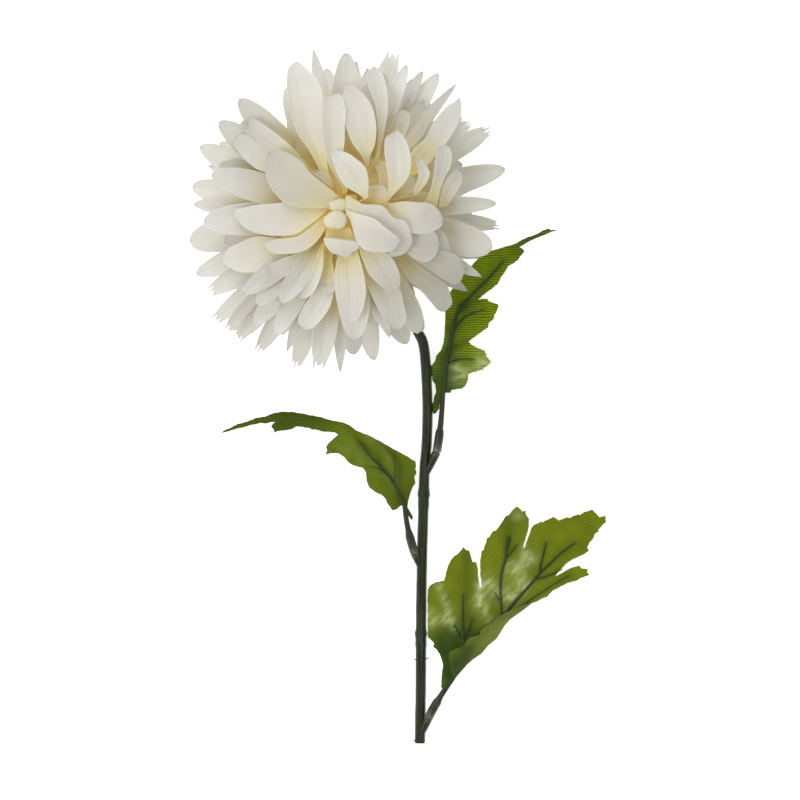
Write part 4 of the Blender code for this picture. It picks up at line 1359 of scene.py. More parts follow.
@dataclass(frozen=True)
class OutlinedPetal:
    """One petal by its two edges as they are seen, laid over the dome and drawn down to the hub.

    It leaves the hub at the share stand of its base's reach, and the share foot of its length is foot.
    """

    left: Sequence[Point]
    right: Sequence[Point]
    base: float
    tip: float
    cup: float
    phase: float = 0.0
    ripple: float = 0.04
    stand: float = 0.3
    foot: float = 0.24
    warm: float = 0.0
    dimmed: float = 0.0
    root_height: float = 50.0

    def place(self, across: float, share: float) -> Vector:
        """A point of the petal's middle surface.

        Args:
            across: From -1 at the left edge to 1 at the right one.
            share: From 0 at the hub to 1 at the tip.

        Returns:
            The place in millimetres.
        """
        run = max(0.0, (share - self.foot) / (1 - self.foot))
        run *= 1.5 - 0.5 * run
        left, right = along_line(self.left, run), along_line(self.right, run)
        half = (right - left).length / 2
        flat = left.lerp(right, 0.5 + 0.5 * across)
        level = dome(flat.length) + self.base + (self.tip - self.base) * math.sin(run * math.pi / 2)
        level += self.cup * half * abs(across) ** HOLLOW
        level += edge_ripple(self.ripple * half, across, 1.7 * run + self.phase)
        level += fine_pleats(0.14, across, self.phase) * math.sin(math.pi * run)
        if share < self.foot:
            up = share / self.foot
            flat *= self.stand + (1 - self.stand) * up ** 2
            level = self.root_height + (level - self.root_height) * math.sin(up * math.pi / 2)
        return Vector((BLOOM_X + flat.x, BLOOM_Y + flat.y, level))


@dataclass(frozen=True)
class PetalLayer:
    """Petals of one layer: a blank is made once, and each petal is a shaped copy of it."""

    name: str
    columns: int
    rows: int
    thickness: float = 0.3
    tones: tuple[float, float] = (0.12, 0.36)
    warmth: float = 1.0

    def blank(self) -> Object:
        """A flat blank whose corners are -1 and 1, with a UV map over it."""
        deselect_all()
        bpy.ops.mesh.primitive_grid_add(
            x_subdivisions=self.columns, y_subdivisions=self.rows, size=2.0, calc_uvs=True, location=(0, 0, 0)
        )
        blank = bpy.context.object
        blank.name = self.name + "_blank"
        return blank

    def shape(self, blank: Object, place_at: Callable[[float, float], Vector], tone: float,
              warm: float = 0.0) -> Object:
        """Copies the blank, bends the copy clear of what lies under the bloom, and marks its darkness and
        depth, painted shade among them.

        Args:
            blank: The flat blank.
            place_at: Where the point at a place across and a share of the length goes.
            tone: How much of the darker colour the copy shows: a darkness at random, to which painted shade
                is added.
            warm: The least depth that the copy shows, which yellows it and gives it a painted glow.

        Returns:
            The shaped copy, with its own mesh.
        """

        def lifted(across: float, along: float) -> Vector:
            """The point's place, no lower than what lies under it."""
            place = place_at(across, along)
            place.z = max(place.z, clear_height(place.x, place.y))
            return place

        copy = bend_copy(blank, self.name + "_petal", lifted)
        dye(
            copy,
            tone=lambda place: min(1.0, tone + painted_shade_at(place)),
            depth=lambda place: max(warm, self.warmth * warm_depth(place)),
        )
        return copy

    def finish(self, copies: Sequence[Object]) -> Object:
        """Joins the copies, closes their tips and gives them their thickness.

        Args:
            copies: The shaped copies.

        Returns:
            The layer as one piece.
        """
        layer = join(self.name, copies)
        merge_doubles(2e-6, turn_outwards=False)
        apply_modifier(layer, "SOLIDIFY", thickness=self.thickness * MM, offset=0.0)
        return layer

    def build(self, petals: Sequence[Petal | OutlinedPetal]) -> Object:
        """Lays all petals of the layer.

        Args:
            petals: The layer's petals, each a little darker or lighter at random, some also with painted
                shade.

        Returns:
            The layer as one piece.
        """
        blank = self.blank()
        low, high = self.tones
        copies = [
            self.shape(blank, petal.place, low + (high - low) * petal.phase + petal.dimmed, petal.warm)
            for petal in petals
        ]
        remove(blank)
        return self.finish(copies)


@dataclass(frozen=True)
class Bud:
    """A tight bud at the centre: a low closed head, lumpy and creased, on a neck down into the bloom."""

    x: float
    y: float
    radius: float
    flat: float
    top: float
    lean: float = 0.0
    rise: float = 0.5
    depth: float = 22.0

    def head_place(self, azimuth: float, polar: float) -> Vector:
        """A point on the bud's round head, or below it on its neck.

        Args:
            azimuth: Direction round the bud, in radians.
            polar: Angle down from its top, in radians; past a right angle it runs down the neck.

        Returns:
            The place in millimetres.
        """
        head = min(polar, math.pi / 2)
        neck = max(0.0, polar - math.pi / 2)
        lumps = 0.035 * math.sin(3.0 * azimuth + self.x) + 0.02 * math.sin(5.0 * azimuth + self.y)
        folds = 0.03 * math.sin(11.0 * azimuth + 2.5 * polar + self.y) * math.sin(head) ** 4
        out = self.radius * math.sin(head) * (1.0 - 0.35 * neck) * (1.0 + lumps + folds)
        down = self.rise * self.radius * (1 - math.cos(head)) * (1.0 - 3.0 * lumps) + self.depth * neck
        x, y = out * math.cos(azimuth), self.flat * out * math.sin(azimuth)
        tilt = math.radians(self.lean)
        leaning_x = x * math.cos(tilt) - y * math.sin(tilt)
        leaning_y = x * math.sin(tilt) + y * math.cos(tilt)
        return Vector((BLOOM_X + self.x, BLOOM_Y + self.y, self.top)) + Vector((leaning_x, leaning_y, -down))

    def build(self, layer: PetalLayer, blank: Object) -> Object:
        """Rolls a copy of a flat blank up into the bud.

        Args:
            layer: The layer that the blank belongs to.
            blank: The blank.

        Returns:
            The bud.
        """
        return layer.shape(
            blank, lambda across, share: self.head_place(math.pi * across, 2.1 * (1.0 - share)), 0.1
        )


@dataclass
class Bloom:
    """The flower: front petals placed as they lie, a filled dome under them, a reflexed back and two buds."""

    hub_radius: float = 11.0
    crease: float = 55.0
    buds: tuple[Bud, ...] = (Bud(-0.8, 1.0, 4.5, 0.66, 86.5), Bud(-1.9, -5.6, 5.2, 0.82, 88.5, 8.0))
    draw: random.Random = field(default_factory=lambda: random.Random(SEED))
    style: random.Random = field(default_factory=lambda: random.Random(SEED + 1))

    def lay(self, azimuth: float, swing: float, reach: float, width: float, shoulder: float, tip: float,
            form: PetalForm) -> Petal:
        """Lays a petal up out of the hub, over its shoulder, to its tip.

        Args:
            azimuth: Where its tip points, in degrees.
            swing: How far the tip swings off the root, in degrees.
            reach: The tip's reach from the axis.
            width: The blade's width.
            shoulder: The height of its arch.
            tip: The tip's height.
            form: How it was pressed.

        Returns:
            The petal.
        """
        return Petal(
            from_axis(4.0, azimuth - swing, HUB_HEIGHT + 0.12 * (shoulder - HUB_HEIGHT)),
            from_axis(4.0 + 0.06 * reach, azimuth - 0.9 * swing, HUB_HEIGHT + 0.84 * (shoulder - HUB_HEIGHT)),
            from_axis(0.5 * reach, azimuth - 0.4 * swing, shoulder),
            from_axis(reach, azimuth, tip),
            width,
            form.value,
            roll=self.style.uniform(-16.0, 16.0),
            ripple=self.style.uniform(0.02, 0.08),
            phase=self.style.random(),
        )

    def front(self) -> Iterator[Petal]:
        """The petals that face the viewer."""
        for azimuth, swing, reach, width, lift, form in FRONT_PETALS:
            tip = dome(reach) + lift
            shoulder = min(90.0, tip + 0.17 * reach)
            yield self.lay(azimuth, swing, reach, width, shoulder, tip, PetalForm[form.upper()])

    def inner(self) -> Iterator[OutlinedPetal]:
        """The broad petals round the buds, which overlap as they are seen."""
        for left, right, base, tip, cup, *stand in INNER_PETALS:
            ripple, phase = self.style.uniform(0.01, 0.05), self.style.random()
            yield OutlinedPetal(left, right, base, tip, cup, phase, ripple, *stand)

    def under(self) -> Iterator[Petal]:
        """Petals lower in the dome, which close the gaps between the front ones."""
        for index in range(UNDER_PETALS):
            azimuth = GOLDEN_ANGLE * index + self.draw.uniform(-6, 6)
            reach = 24.0 + 35.0 * math.sqrt(index / UNDER_PETALS) - 0.6 * notch(azimuth)
            tip = HUB_HEIGHT + 0.76 * (dome(reach) - HUB_HEIGHT) + self.draw.uniform(-2, 1)
            shoulder = min(tip + 0.1 * reach, 75.0)
            swing, width = self.draw.uniform(-6, 6), self.draw.uniform(11, 14)
            yield self.lay(azimuth, swing, reach, width, shoulder, tip, PetalForm.LOW)

    def back(self) -> Iterator[Petal]:
        """Reflexed petals from the bloom's edge down its back, the last of which lie on the table."""
        for index in range(BACK_PETALS):
            share = index / (BACK_PETALS - 1)
            tip = 46.0 - 52.0 * share
            azimuth = GOLDEN_ANGLE * (index + 0.5) + self.draw.uniform(-4, 4)
            reach = BACK_REACH + BACK_OFFSET * math.cos(math.radians(azimuth)) + self.draw.uniform(-2.5, 1.5)
            reach -= notch(azimuth)
            shoulder = HUB_HEIGHT + 12.0 - 16.0 * share
            swing, width = self.draw.uniform(-6, 6), self.draw.uniform(11, 14)
            form = PetalForm.LANCE if self.style.random() < 0.4 else PetalForm.SPOON
            yield self.lay(azimuth, swing, reach, width, shoulder, tip, form)

    def make_hub(self) -> Object:
        """The knob that the petals grow from: a round ball on the bloom's axis."""
        deselect_all()
        bpy.ops.mesh.primitive_uv_sphere_add(
            segments=32, ring_count=16, radius=self.hub_radius * MM,
            location=(BLOOM_X * MM, BLOOM_Y * MM, HUB_HEIGHT * MM),
        )
        hub = bpy.context.object
        pick(hub)
        bpy.ops.object.transform_apply(location=True, rotation=True, scale=True)
        dye(hub, tone=lambda _: 0.5, depth=lambda _: 0.5)
        return hub

    def build(self, material: Material, bud_material: Material) -> None:
        """Builds and dresses the whole bloom.

        Args:
            material: The petals' fabric.
            bud_material: The thicker fabric of the buds.
        """
        layers = (
            (PetalLayer("front_petals", 14, 26), self.front),
            (PetalLayer("inner_petals", 18, 32, tones=(0.0, 0.12)), self.inner),
            (PetalLayer("under_petals", 8, 18), self.under),
            (PetalLayer("back_petals", 8, 18, warmth=0.45), self.back),
        )
        for layer, petals in layers:
            piece = layer.build(list(petals()))
            settle(piece, material, "petal_fabric", "bloom", crease=self.crease)
        bud_layer = PetalLayer("buds", 44, 20)
        blank = bud_layer.blank()
        buds = bud_layer.finish([bud.build(bud_layer, blank) for bud in self.buds])
        remove(blank)
        centre = join("bloom_centre", [buds, self.make_hub()])
        settle(centre, bud_material, "petal_fabric", "bloom", crease=self.crease)


@dataclass(frozen=True)
class Pleat:
    """A pressed line in a leaf: a ridge, or with a negative height a groove."""

    points: Sequence[Point]
    height: float
    spread: float

    def rise(self, x: float, y: float) -> float:
        """How far the leaf rises at a place because of this pleat."""
        return self.height * bell(nearest_on(self.points, x, y)[0], self.spread)


@dataclass(frozen=True)
class Spot:
    """A soft round place on a leaf where its colour changes."""

    x: float
    y: float
    radius: float
    strength: float = 1.0

    def weight(self, x: float, y: float) -> float:
        """How much the spot counts at a place."""
        return self.strength * math.exp(-((x - self.x) ** 2 + (y - self.y) ** 2) / self.radius ** 2)


@dataclass(frozen=True)
class Rib:
    """A moulded rib over a leaf, thinning from its first radius to its last."""

    first: float
    last: float
    points: Sequence[Point]


@dataclass
class Leaf:
    """A cloth leaf: a blade pressed over its midrib, with pleats, moulded ribs and woven edges."""

    side: str
    outline: Sequence[Point]
    midrib: Route
    ribs: Sequence[Rib]
    pleats: Sequence[Pleat] = ()
    # Spots of painted shade, pale spots of painted sheen with some scuffing, and painted highlights on the
    # pleats' ridges.
    shaded: Sequence[Spot] = ()
    sheen_and_wear_spots: Sequence[Spot] = ()
    ridge_highlight: float = 0.4
    thickness: float = 0.32
    grid: float = 1.15
    row_step: float = 0.87
    sharp: float = 60.0
    wave: float = 0.45
    seed: int = 3

    def height(self, x: float, y: float) -> float:
        """The blade's middle surface.

        Args:
            x: The place's x.
            y: The place's y.

        Returns:
            Its height.
        """
        distance, side, row = nearest_on(self.midrib, x, y)
        slope = row[3] if side > 0 else row[4]
        level = row[2] + slope * (math.sqrt(distance ** 2 + 1.0) - 1.0)
        level += sum(pleat.rise(x, y) for pleat in self.pleats)
        loose = min(1.0, distance / 8.0)
        level += self.wave * loose * noise.noise(Vector((x / 6.5, y / 6.5, self.seed)))
        return max(self.thickness / 2 + 0.3, level)

    def edge(self) -> list[Point]:
        """The outline in short steps, a little uneven where the weave was cut."""
        draw = random.Random(self.seed)
        corners = [Vector(point) for point in self.outline]
        edge = []
        for start, end in zip(corners, corners[1:] + corners[:1]):
            steps = max(1, round((end - start).length / self.grid))
            off = Vector((-(end - start).y, (end - start).x)).normalized()
            for step in range(steps):
                nudge = off * draw.uniform(-0.14, 0.14) if step else Vector((0.0, 0.0))
                edge.append(tuple(start.lerp(end, step / steps) + nudge))
        return edge

    def sheet(self, name: str, edge: Sequence[Point], crease: Sequence[Point],
              height: Callable[[float, float], float]) -> Object:
        """A cloth sheet over an outline, split into even triangles.

        Args:
            name: The object's name.
            edge: The outline.
            crease: Points that a line of edges follows.
            height: The sheet's height at a place.

        Returns:
            The sheet with its thickness.
        """
        edge = list(edge)
        corners = [Vector(point) for point in edge]
        inner = [point for point in crease if is_inside(edge, *point)]
        edges = [(len(corners) + index, len(corners) + index + 1) for index in range(len(inner) - 1)]
        corners += [Vector(point) for point in inner]
        border = [*edge, edge[0]]
        low_x, low_y = min(x for x, _ in edge), min(y for _, y in edge)
        columns = int((max(x for x, _ in edge) - low_x) / self.grid) + 1
        rows = int((max(y for _, y in edge) - low_y) / (self.grid * self.row_step)) + 1
        for row in range(rows):
            for column in range(columns):
                x = low_x + self.grid * (column + 0.5 * (row % 2))
                y = low_y + self.grid * self.row_step * row
                if is_inside(edge, x, y) and nearest_on(border, x, y)[0] > self.grid * 0.45:
                    corners.append(Vector((x, y)))
        flat, _, triangles, *_ = delaunay_2d_cdt(corners, edges, [tuple(range(len(edge)))], 1, 1e-5)
        item = mesh_piece(name, [Vector((x, y, height(x, y))) for x, y in flat], triangles)
        # Painted shade, and painted sheen with some scuffing, stored on the vertices for the material.
        dye(item, shade=self.shade, worn=self.sheen_and_wear_at)
        apply_modifier(item, "SOLIDIFY", thickness=self.thickness * MM, offset=0.0)
        return item

    def shade(self, place: Vector) -> float:
        """How much painted shade the cloth shows: in its grooves, beside its ribs and at its shaded spots."""
        grooved = 0.6 * sum(max(0.0, -pleat.rise(place.x, place.y)) for pleat in self.pleats)
        beside = min(nearest_on(rib.points, place.x, place.y)[0] for rib in self.ribs)
        grooved += 0.4 * bell(beside, 1.7)
        return min(1.0, grooved + sum(spot.weight(place.x, place.y) for spot in self.shaded))

    def sheen_and_wear_at(self, place: Vector) -> float:
        """How much painted sheen, with some scuffing, the cloth shows: painted highlights on its ridges and
        pale spots.
        """
        ridged = self.ridge_highlight * sum(max(0.0, pleat.rise(place.x, place.y)) for pleat in self.pleats)
        return min(1.0, ridged + sum(spot.weight(place.x, place.y) for spot in self.sheen_and_wear_spots))

    def rib_route(self, rib: Rib) -> tuple[list[Vector], list[float]]:
        """Where a rib lies over its blade.

        Args:
            rib: The rib.

        Returns:
            Its route and its radii.
        """
        flat = smooth_route([(x, y, 0.0) for x, y in rib.points], 1.6)
        radii = [rib.first + (rib.last - rib.first) * index / (len(flat) - 1) for index in range(len(flat))]
        route = [
            Vector((point.x, point.y, self.height(point.x, point.y) + self.thickness / 2 + radius * 0.45))
            for point, radius in zip(flat, radii)
        ]
        return route, radii

    def build(self, material: Material) -> None:
        """Builds and dresses the blade.

        Args:
            material: The leaf's cloth.
        """
        crease = [tuple(row[:2]) for row in self.midrib]
        blade = self.sheet("leaf_" + self.side + "_cloth", self.edge(), crease, self.height)
        settle(blade, material, "leaf_fabric", "leaf_" + self.side, crease=self.sharp)


@dataclass
class FoldedLeaf(Leaf):
    """A leaf whose right edge is folded back over its base, so that its paler back shows there."""

    flap_rise: float = 8.0
    flap_curl: float = 3.0
    # The flap's painted shade near its crease and painted highlights in its middle.
    flap_shaded: Sequence[Spot] = (Spot(25, -120, 9, 0.95), Spot(31, -112, 5, 0.35))
    flap_highlight_spots: Sequence[Spot] = (Spot(46, -100, 7, 0.12), Spot(37, -108, 5, 0.1))

    def flap_height(self, x: float, y: float) -> float:
        """The flap's surface: steep at the crease, then level over the blade."""
        distance = nearest_on(FLAP_CREASE, x, y)[0]
        return self.height(x, y) + self.flap_rise * (1.0 - math.exp(-distance / self.flap_curl))

    def build_flap(self, material: Material) -> None:
        """Builds and dresses the folded-back strip.

        Args:
            material: The cloth's back.
        """
        strip = replace(self, shaded=self.flap_shaded, sheen_and_wear_spots=self.flap_highlight_spots, pleats=())
        flap = strip.sheet("leaf_lower_flap", [*FLAP_CREASE, *FLAP_EDGE], (), self.flap_height)
        settle(flap, material, "leaf_fabric", "leaf_" + self.side, crease=self.sharp)


@dataclass
class Stalk:
    """A leaf's plastic stalk: the sleeve over its stub, the stalk, and the ribs over the leaf."""

    leaf: Leaf
    stub: Route
    points: Route
    sleeve_radius: float = 1.9
    sleeve_length: float = 9.0
    radius: float = 1.55
    taper: float = 30.0

    def build(self, material: Material) -> None:
        """Builds and dresses the stalk.

        Args:
            material: The stalk's plastic.
        """
        start, end = Vector(self.stub[-2]), Vector(self.stub[-1])
        mouth = end + (end - start).normalized() * 0.3
        rib, radii = self.leaf.rib_route(self.leaf.ribs[0])
        stalk = smooth_route([mouth, *self.points, rib[0]], 1.5)
        travelled = 0.0
        stalk_radii = []
        for before, place in zip([stalk[0], *stalk], stalk):
            travelled += (place - before).length
            past_sleeve = clamp((travelled - self.sleeve_length) / 1.5)
            slim = self.radius + (radii[0] - self.radius) * min(1.0, travelled / self.taper)
            stalk_radii.append(self.sleeve_radius + (slim - self.sleeve_radius) * past_sleeve)
        parts = [Drawn(stalk + rib[1:], stalk_radii + radii[1:], 20, 6, 0.05).build("stalk")]
        for branch in self.leaf.ribs[1:]:
            route, branch_radii = self.leaf.rib_route(branch)
            parts.append(Drawn(route, branch_radii, 8).build("branch"))
        piece = join("petiole_" + self.leaf.side + "_plastic", parts)
        dye(
            piece,
            stress=lambda place: bell((place - mouth).length, 2.4),
            over_leaf=lambda place: 0.85 if is_inside(self.leaf.outline, place.x, place.y) else 0.0,
        )
        settle(piece, material, "stem_plastic", "petiole_" + self.leaf.side)


@dataclass
class Stem:
    """The moulded stem: fluted, with a collar at each node, side stubs and flash left by the mould."""

    nodes: tuple[float, ...] = (-106.0, -43.0)
    collar: float = 0.5
    bore: float = 1.1
    wire: float = 0.8

    def radius(self, place: Vector) -> float:
        """The stem's radius: a collar at each node and a slightly uneven shaft."""
        near = min((place.y - node for node in self.nodes), key=abs)
        ring = bell(near, 1.3) + 0.45 * bell(near + 4.2, 1.6)
        uneven = 0.1 * noise.noise(Vector((0.0, place.y / 7.0, 5.0)))
        return STEM_RADIUS + self.collar * ring + uneven

    def shaft(self) -> Object:
        """The fluted shaft from the cut end to the bloom, bored at its cut end."""
        route = smooth_route(STEM_ROUTE, 2.2)
        radii = [self.radius(place) for place in route]
        for height, radius in ((17.2, STEM_RADIUS), (17.3, 1.8), (26.0, 1.8)):
            route.append(Vector((BLOOM_X, BLOOM_Y, height)))
            radii.append(radius)
        shaft = Drawn(route, radii, 40, 10, 0.045).build("shaft")
        bore_route = [route[0] * 2 - route[1], route[0], route[6]]
        cutter = Drawn(bore_route, [self.bore] * 3, 16).build("bore_cutter")
        apply_modifier(shaft, "BOOLEAN", operation="DIFFERENCE", object=cutter, solver="EXACT")
        remove(cutter)
        return shaft

    def stub(self, points: Route) -> Object:
        """A side stub that swells to its shoulder, with the peg that a stalk plugs on.

        Args:
            points: The stub's route.

        Returns:
            The stub.
        """
        route = smooth_route(points, 1.2)
        count = len(route)
        radii = [1.5 + 0.35 * math.sin(math.pi / 2 * index / (count - 1)) for index in range(count)]
        ahead = (route[-1] - route[-2]).normalized()
        route += [route[-1] + ahead * 0.05, route[-1] + ahead * 3.0]
        radii += [0.85, 0.85]
        return Drawn(route, radii, 18, 6, 0.04).build("stub")

    def flash(self, place: Vector, heading: Vector, length: float) -> Object:
        """A thin whisker of plastic that squeezed out between the mould's halves.

        Args:
            place: Where it leaves the stem.
            heading: Which way it points.
            length: How long it is.

        Returns:
            The whisker.
        """
        heading = heading.normalized()
        bend = Vector((0.0, 0.35, 0.1))
        route = [place, place + heading * length * 0.5, place + heading * length + bend]
        return Drawn(route, [0.3, 0.22, 0.09], 6).build("flash")

    def build(self, material: Material, wire_material: Material) -> None:
        """Builds and dresses the stem and the wire inside it.

        Args:
            material: The stem's plastic.
            wire_material: The wire's metal.
        """
        parts = [self.shaft()]
        parts += [self.stub(points) for points in STUBS.values()]
        parts += [
            self.flash(Vector((11.5, -117.6, 2.8)), Vector((1.0, 0.25, 0.2)), 1.7),
            self.flash(Vector((7.3, -117.8, 2.8)), Vector((-1.0, 0.0, 0.1)), 1.2),
            self.flash(Vector((7.0, -154.6, 2.3)), Vector((-1.0, -0.1, 0.0)), 1.5),
        ]
        piece = join("stem_moulded", parts)
        joints = [Vector(points[-1]) for points in STUBS.values()]
        dye(piece, stress=lambda place: max(bell((place - joint).length, 1.6) for joint in joints))
        settle(piece, material, "stem_plastic", "stem")

        core = smooth_route(STEM_ROUTE, 2.2)
        wire = Drawn(core, [self.wire] * len(core), 12).build("stem_wire_drawn")
        settle(wire, wire_material, "wire_steel", "stem_wire")


@dataclass
class Calyx:
    """The green cup behind the bloom, with pointed sepals pressed against the petals' backs."""

    sepals: int = 9
    sides: int = 36
    profile: tuple[Point, ...] = (
        (2.1, 17.5), (3.6, 17.5), (4.3, 18.3), (5.4, 19.3), (7.0, 20.6), (8.5, 22.2), (9.7, 24.4),
        (10.5, 27.2), (9.6, 27.0), (8.8, 25.8), (7.6, 24.6), (5.0, 22.9), (2.1, 21.9),
    )

    def cup(self) -> Object:
        """The cup, pulled up ring by ring from a circle at its foot."""
        deselect_all()
        radius, height = self.profile[0]
        bpy.ops.mesh.primitive_circle_add(
            vertices=self.sides, radius=radius * MM, fill_type="NOTHING",
            location=(BLOOM_X * MM, BLOOM_Y * MM, height * MM),
        )
        cup = bpy.context.object
        bpy.ops.object.mode_set(mode="EDIT")
        bpy.ops.mesh.select_all(action="SELECT")
        for (before, low), (after, high) in zip(self.profile, [*self.profile[1:], self.profile[0]]):
            bpy.ops.mesh.extrude_region_move(TRANSFORM_OT_translate={"value": (0.0, 0.0, (high - low) * MM)})
            share = after / before
            bpy.ops.transform.resize(
                value=(share, share, 1.0), center_override=(BLOOM_X * MM, BLOOM_Y * MM, high * MM)
            )
        bpy.ops.object.mode_set(mode="OBJECT")
        merge_doubles(1e-6)
        bpy.ops.object.transform_apply(location=True, rotation=True, scale=True)
        return cup

    def sepal(self, blank: Object, number: int) -> Object:
        """A pointed sepal that starts on the cup and leans out along the petals' backs.

        Args:
            blank: A flat blank whose corners are -1 and 1.
            number: Which sepal it is.

        Returns:
            The sepal.
        """
        azimuth = math.tau * number / self.sepals

        def place_at(across: float, along: float) -> Vector:
            """A point of the sepal, which narrows and rises as it leans out."""
            half = 3.1 * (1.0 - along ** 1.8) + 0.12
            reach = 6.4 + 7.6 * along
            turn = azimuth + across * half / reach
            level = 19.7 + 9.6 * along ** 1.25 - 0.5 * (1.0 - across ** 2)
            return Vector((BLOOM_X + reach * math.cos(turn), BLOOM_Y + reach * math.sin(turn), level))

        return bend_copy(blank, "sepal", place_at)

    def build(self, material: Material) -> None:
        """Builds and dresses the calyx.

        Args:
            material: Its plastic.
        """
        blank = PetalLayer("sepal", 6, 10).blank()
        sepals = join("sepals", [self.sepal(blank, number) for number in range(self.sepals)])
        remove(blank)
        apply_modifier(sepals, "SOLIDIFY", thickness=0.7 * MM, offset=0.0)
        calyx = join("calyx_moulded", [self.cup(), sepals])
        dye(calyx, stress=lambda _: 0.0)
        settle(calyx, material, "stem_plastic", "calyx")


def make_left_leaf() -> Leaf:
    """The leaf that arches away to the left: narrow and folded beyond its shoulder, pleated near its base."""
    return Leaf(
        "left", LEFT_OUTLINE, LEFT_MIDRIB,
        ribs=(
            Rib(0.8, 0.12, ((2, -48), (-2, -39), (-7.5, -31.5), (-13.5, -25.5), (-18, -19.5))),
            Rib(0.3, 0.1, ((-2.3, -37), (-2.3, -30.6), (-3, -25.6))),
            Rib(0.3, 0.1, ((-5.3, -34.5), (-9.5, -31), (-14.5, -29.5))),
        ),
        pleats=(
            Pleat(((-1, -40.6), (-4.6, -36.3), (-7.5, -32.7), (-11.8, -29.5), (-18.1, -27.4)), 0.7, 1.3),
            Pleat(((-1.7, -37), (-2.8, -30.6), (-5.3, -25.6), (-9.6, -20.5), (-14.6, -16.6)), 0.8, 1.2),
            Pleat(((-0.5, -37), (0.6, -30.6), (-1.3, -25.6), (-5.6, -21.5)), -0.6, 1.4),
            Pleat(((-7.3, -32), (-10.2, -27), (-14.3, -22.4), (-19.6, -17.5)), -0.7, 1.3),
            Pleat(((-12, -26), (-20, -24), (-28, -21)), 0.6, 1.6),
        ),
        shaded=(
            Spot(1, -47, 8, 0.6), Spot(5, -38, 6, 0.2), Spot(-66, -11, 22, 0.75), Spot(-38, -10, 9, 0.5),
            Spot(-50, -8, 8, 0.35),
        ),
        ridge_highlight=0.12,
        seed=3,
    )


def make_upper_leaf() -> Leaf:
    """The leaf behind the bloom: ribbed across, dark with painted shade at its base, with a frayed lobe."""
    return Leaf(
        "upper", UPPER_OUTLINE, UPPER_MIDRIB,
        ribs=(
            Rib(0.9, 0.3, ((19.5, 2), (21, 15.5), (23.5, 30), (26.5, 40.5), (32, 47), (40, 55), (47, 63))),
            Rib(0.4, 0.2, ((21.2, 16.5), (27, 18.5), (34, 18.5))),
            Rib(0.4, 0.2, ((24, 32), (30, 38), (38, 41))),
        ),
        pleats=(
            Pleat(((24, 24), (31, 27)), -0.8, 2.0),
            Pleat(((29, 42), (36, 46)), -0.8, 2.0),
        ),
        shaded=(
            Spot(18, 0, 8, 0.8), Spot(20, 8, 9, 0.9), Spot(21, 20, 6, 0.75), Spot(24, 32, 5.5, 0.65),
            Spot(28, 42, 5, 0.5), Spot(37, 52, 5, 0.35), Spot(60, 74, 13, 0.75),
        ),
        sheen_and_wear_spots=(Spot(26, 14, 4, 0.5), Spot(30, 10, 5, 0.45), Spot(38, 17, 4, 0.8)),
        seed=8,
    )


def make_lower_leaf() -> FoldedLeaf:
    """The broad leaf near the cut end: three lobes, patches of painted satin sheen, and its right edge folded
    back.
    """
    return FoldedLeaf(
        "lower", LOWER_OUTLINE, LOWER_MIDRIB,
        ribs=(
            Rib(0.9, 0.3, ((24, -126), (28.5, -117.1), (34.5, -108.1), (42.8, -100.9), (46.5, -97.6),
                           (54, -89.3), (58.5, -84.1), (63, -78.8), (66.8, -75.1), (72, -70.2),
                           (75.8, -67.2), (79.1, -64.9))),
            Rib(0.5, 0.3, ((28.8, -112.0), (28.6, -108.7), (28.5, -102.1), (28.3, -94.6), (28.6, -88.2))),
            Rib(0.4, 0.2, ((28.4, -108.2), (26.2, -104.7), (24.4, -101.7))),
            Rib(0.4, 0.2, ((28.7, -107.9), (31.1, -103.9), (33, -99.4))),
            Rib(0.45, 0.65, ((45.9, -97.7), (45.6, -90.1), (45.4, -82.6), (46.1, -77.3), (47.6, -72.1),
                             (48.4, -66.8), (49.3, -62.2))),
            Rib(0.4, 0.2, ((47.9, -71.9), (50.2, -69.1), (53.2, -65.5))),
            Rib(0.3, 0.15, ((45.6, -91.7), (43.9, -88.9), (42.8, -87.1))),
            Rib(0.5, 0.3, ((63.1, -78.8), (63.8, -74.3), (64.9, -69.8), (66.1, -64.6))),
            Rib(0.45, 0.25, ((61.9, -81.1), (66.8, -79.6), (71.2, -77.7), (73.5, -76.6))),
            Rib(0.35, 0.2, ((47.2, -97.4), (52.5, -94.8), (58.5, -90.8), (64.5, -86.8), (69.8, -83.3),
                            (76.5, -79.6))),
        ),
        pleats=(
            Pleat(((18, -84), (22, -95), (25, -104)), 0.9, 1.8),
            Pleat(((36.5, -85), (38, -93), (40, -99)), 1.0, 2.2),
            Pleat(((56, -67), (57, -76), (56, -86)), 0.9, 2.2),
            Pleat(((31, -70), (31, -84), (31, -98)), -0.6, 2.6),
            Pleat(((50, -52), (49, -66)), -0.7, 3.0),
        ),
        shaded=(
            Spot(22, -122, 11, 1.0), Spot(26, -111, 9, 0.8), Spot(19, -108, 7, 0.45),
            Spot(34, -108, 7, 0.5),
        ),
        sheen_and_wear_spots=(
            Spot(14.5, -99, 3.6, 0.6), Spot(21, -99, 2.6, 0.5), Spot(40, -84, 4.2, 0.75),
            Spot(36, -91, 3.4, 0.6), Spot(52, -77, 4.0, 0.7), Spot(50, -89, 4.4, 0.7),
            Spot(59, -71, 3.2, 0.55), Spot(56, -83, 2.6, 0.5), Spot(53, -52, 3.0, 0.3),
        ),
        seed=5,
    )


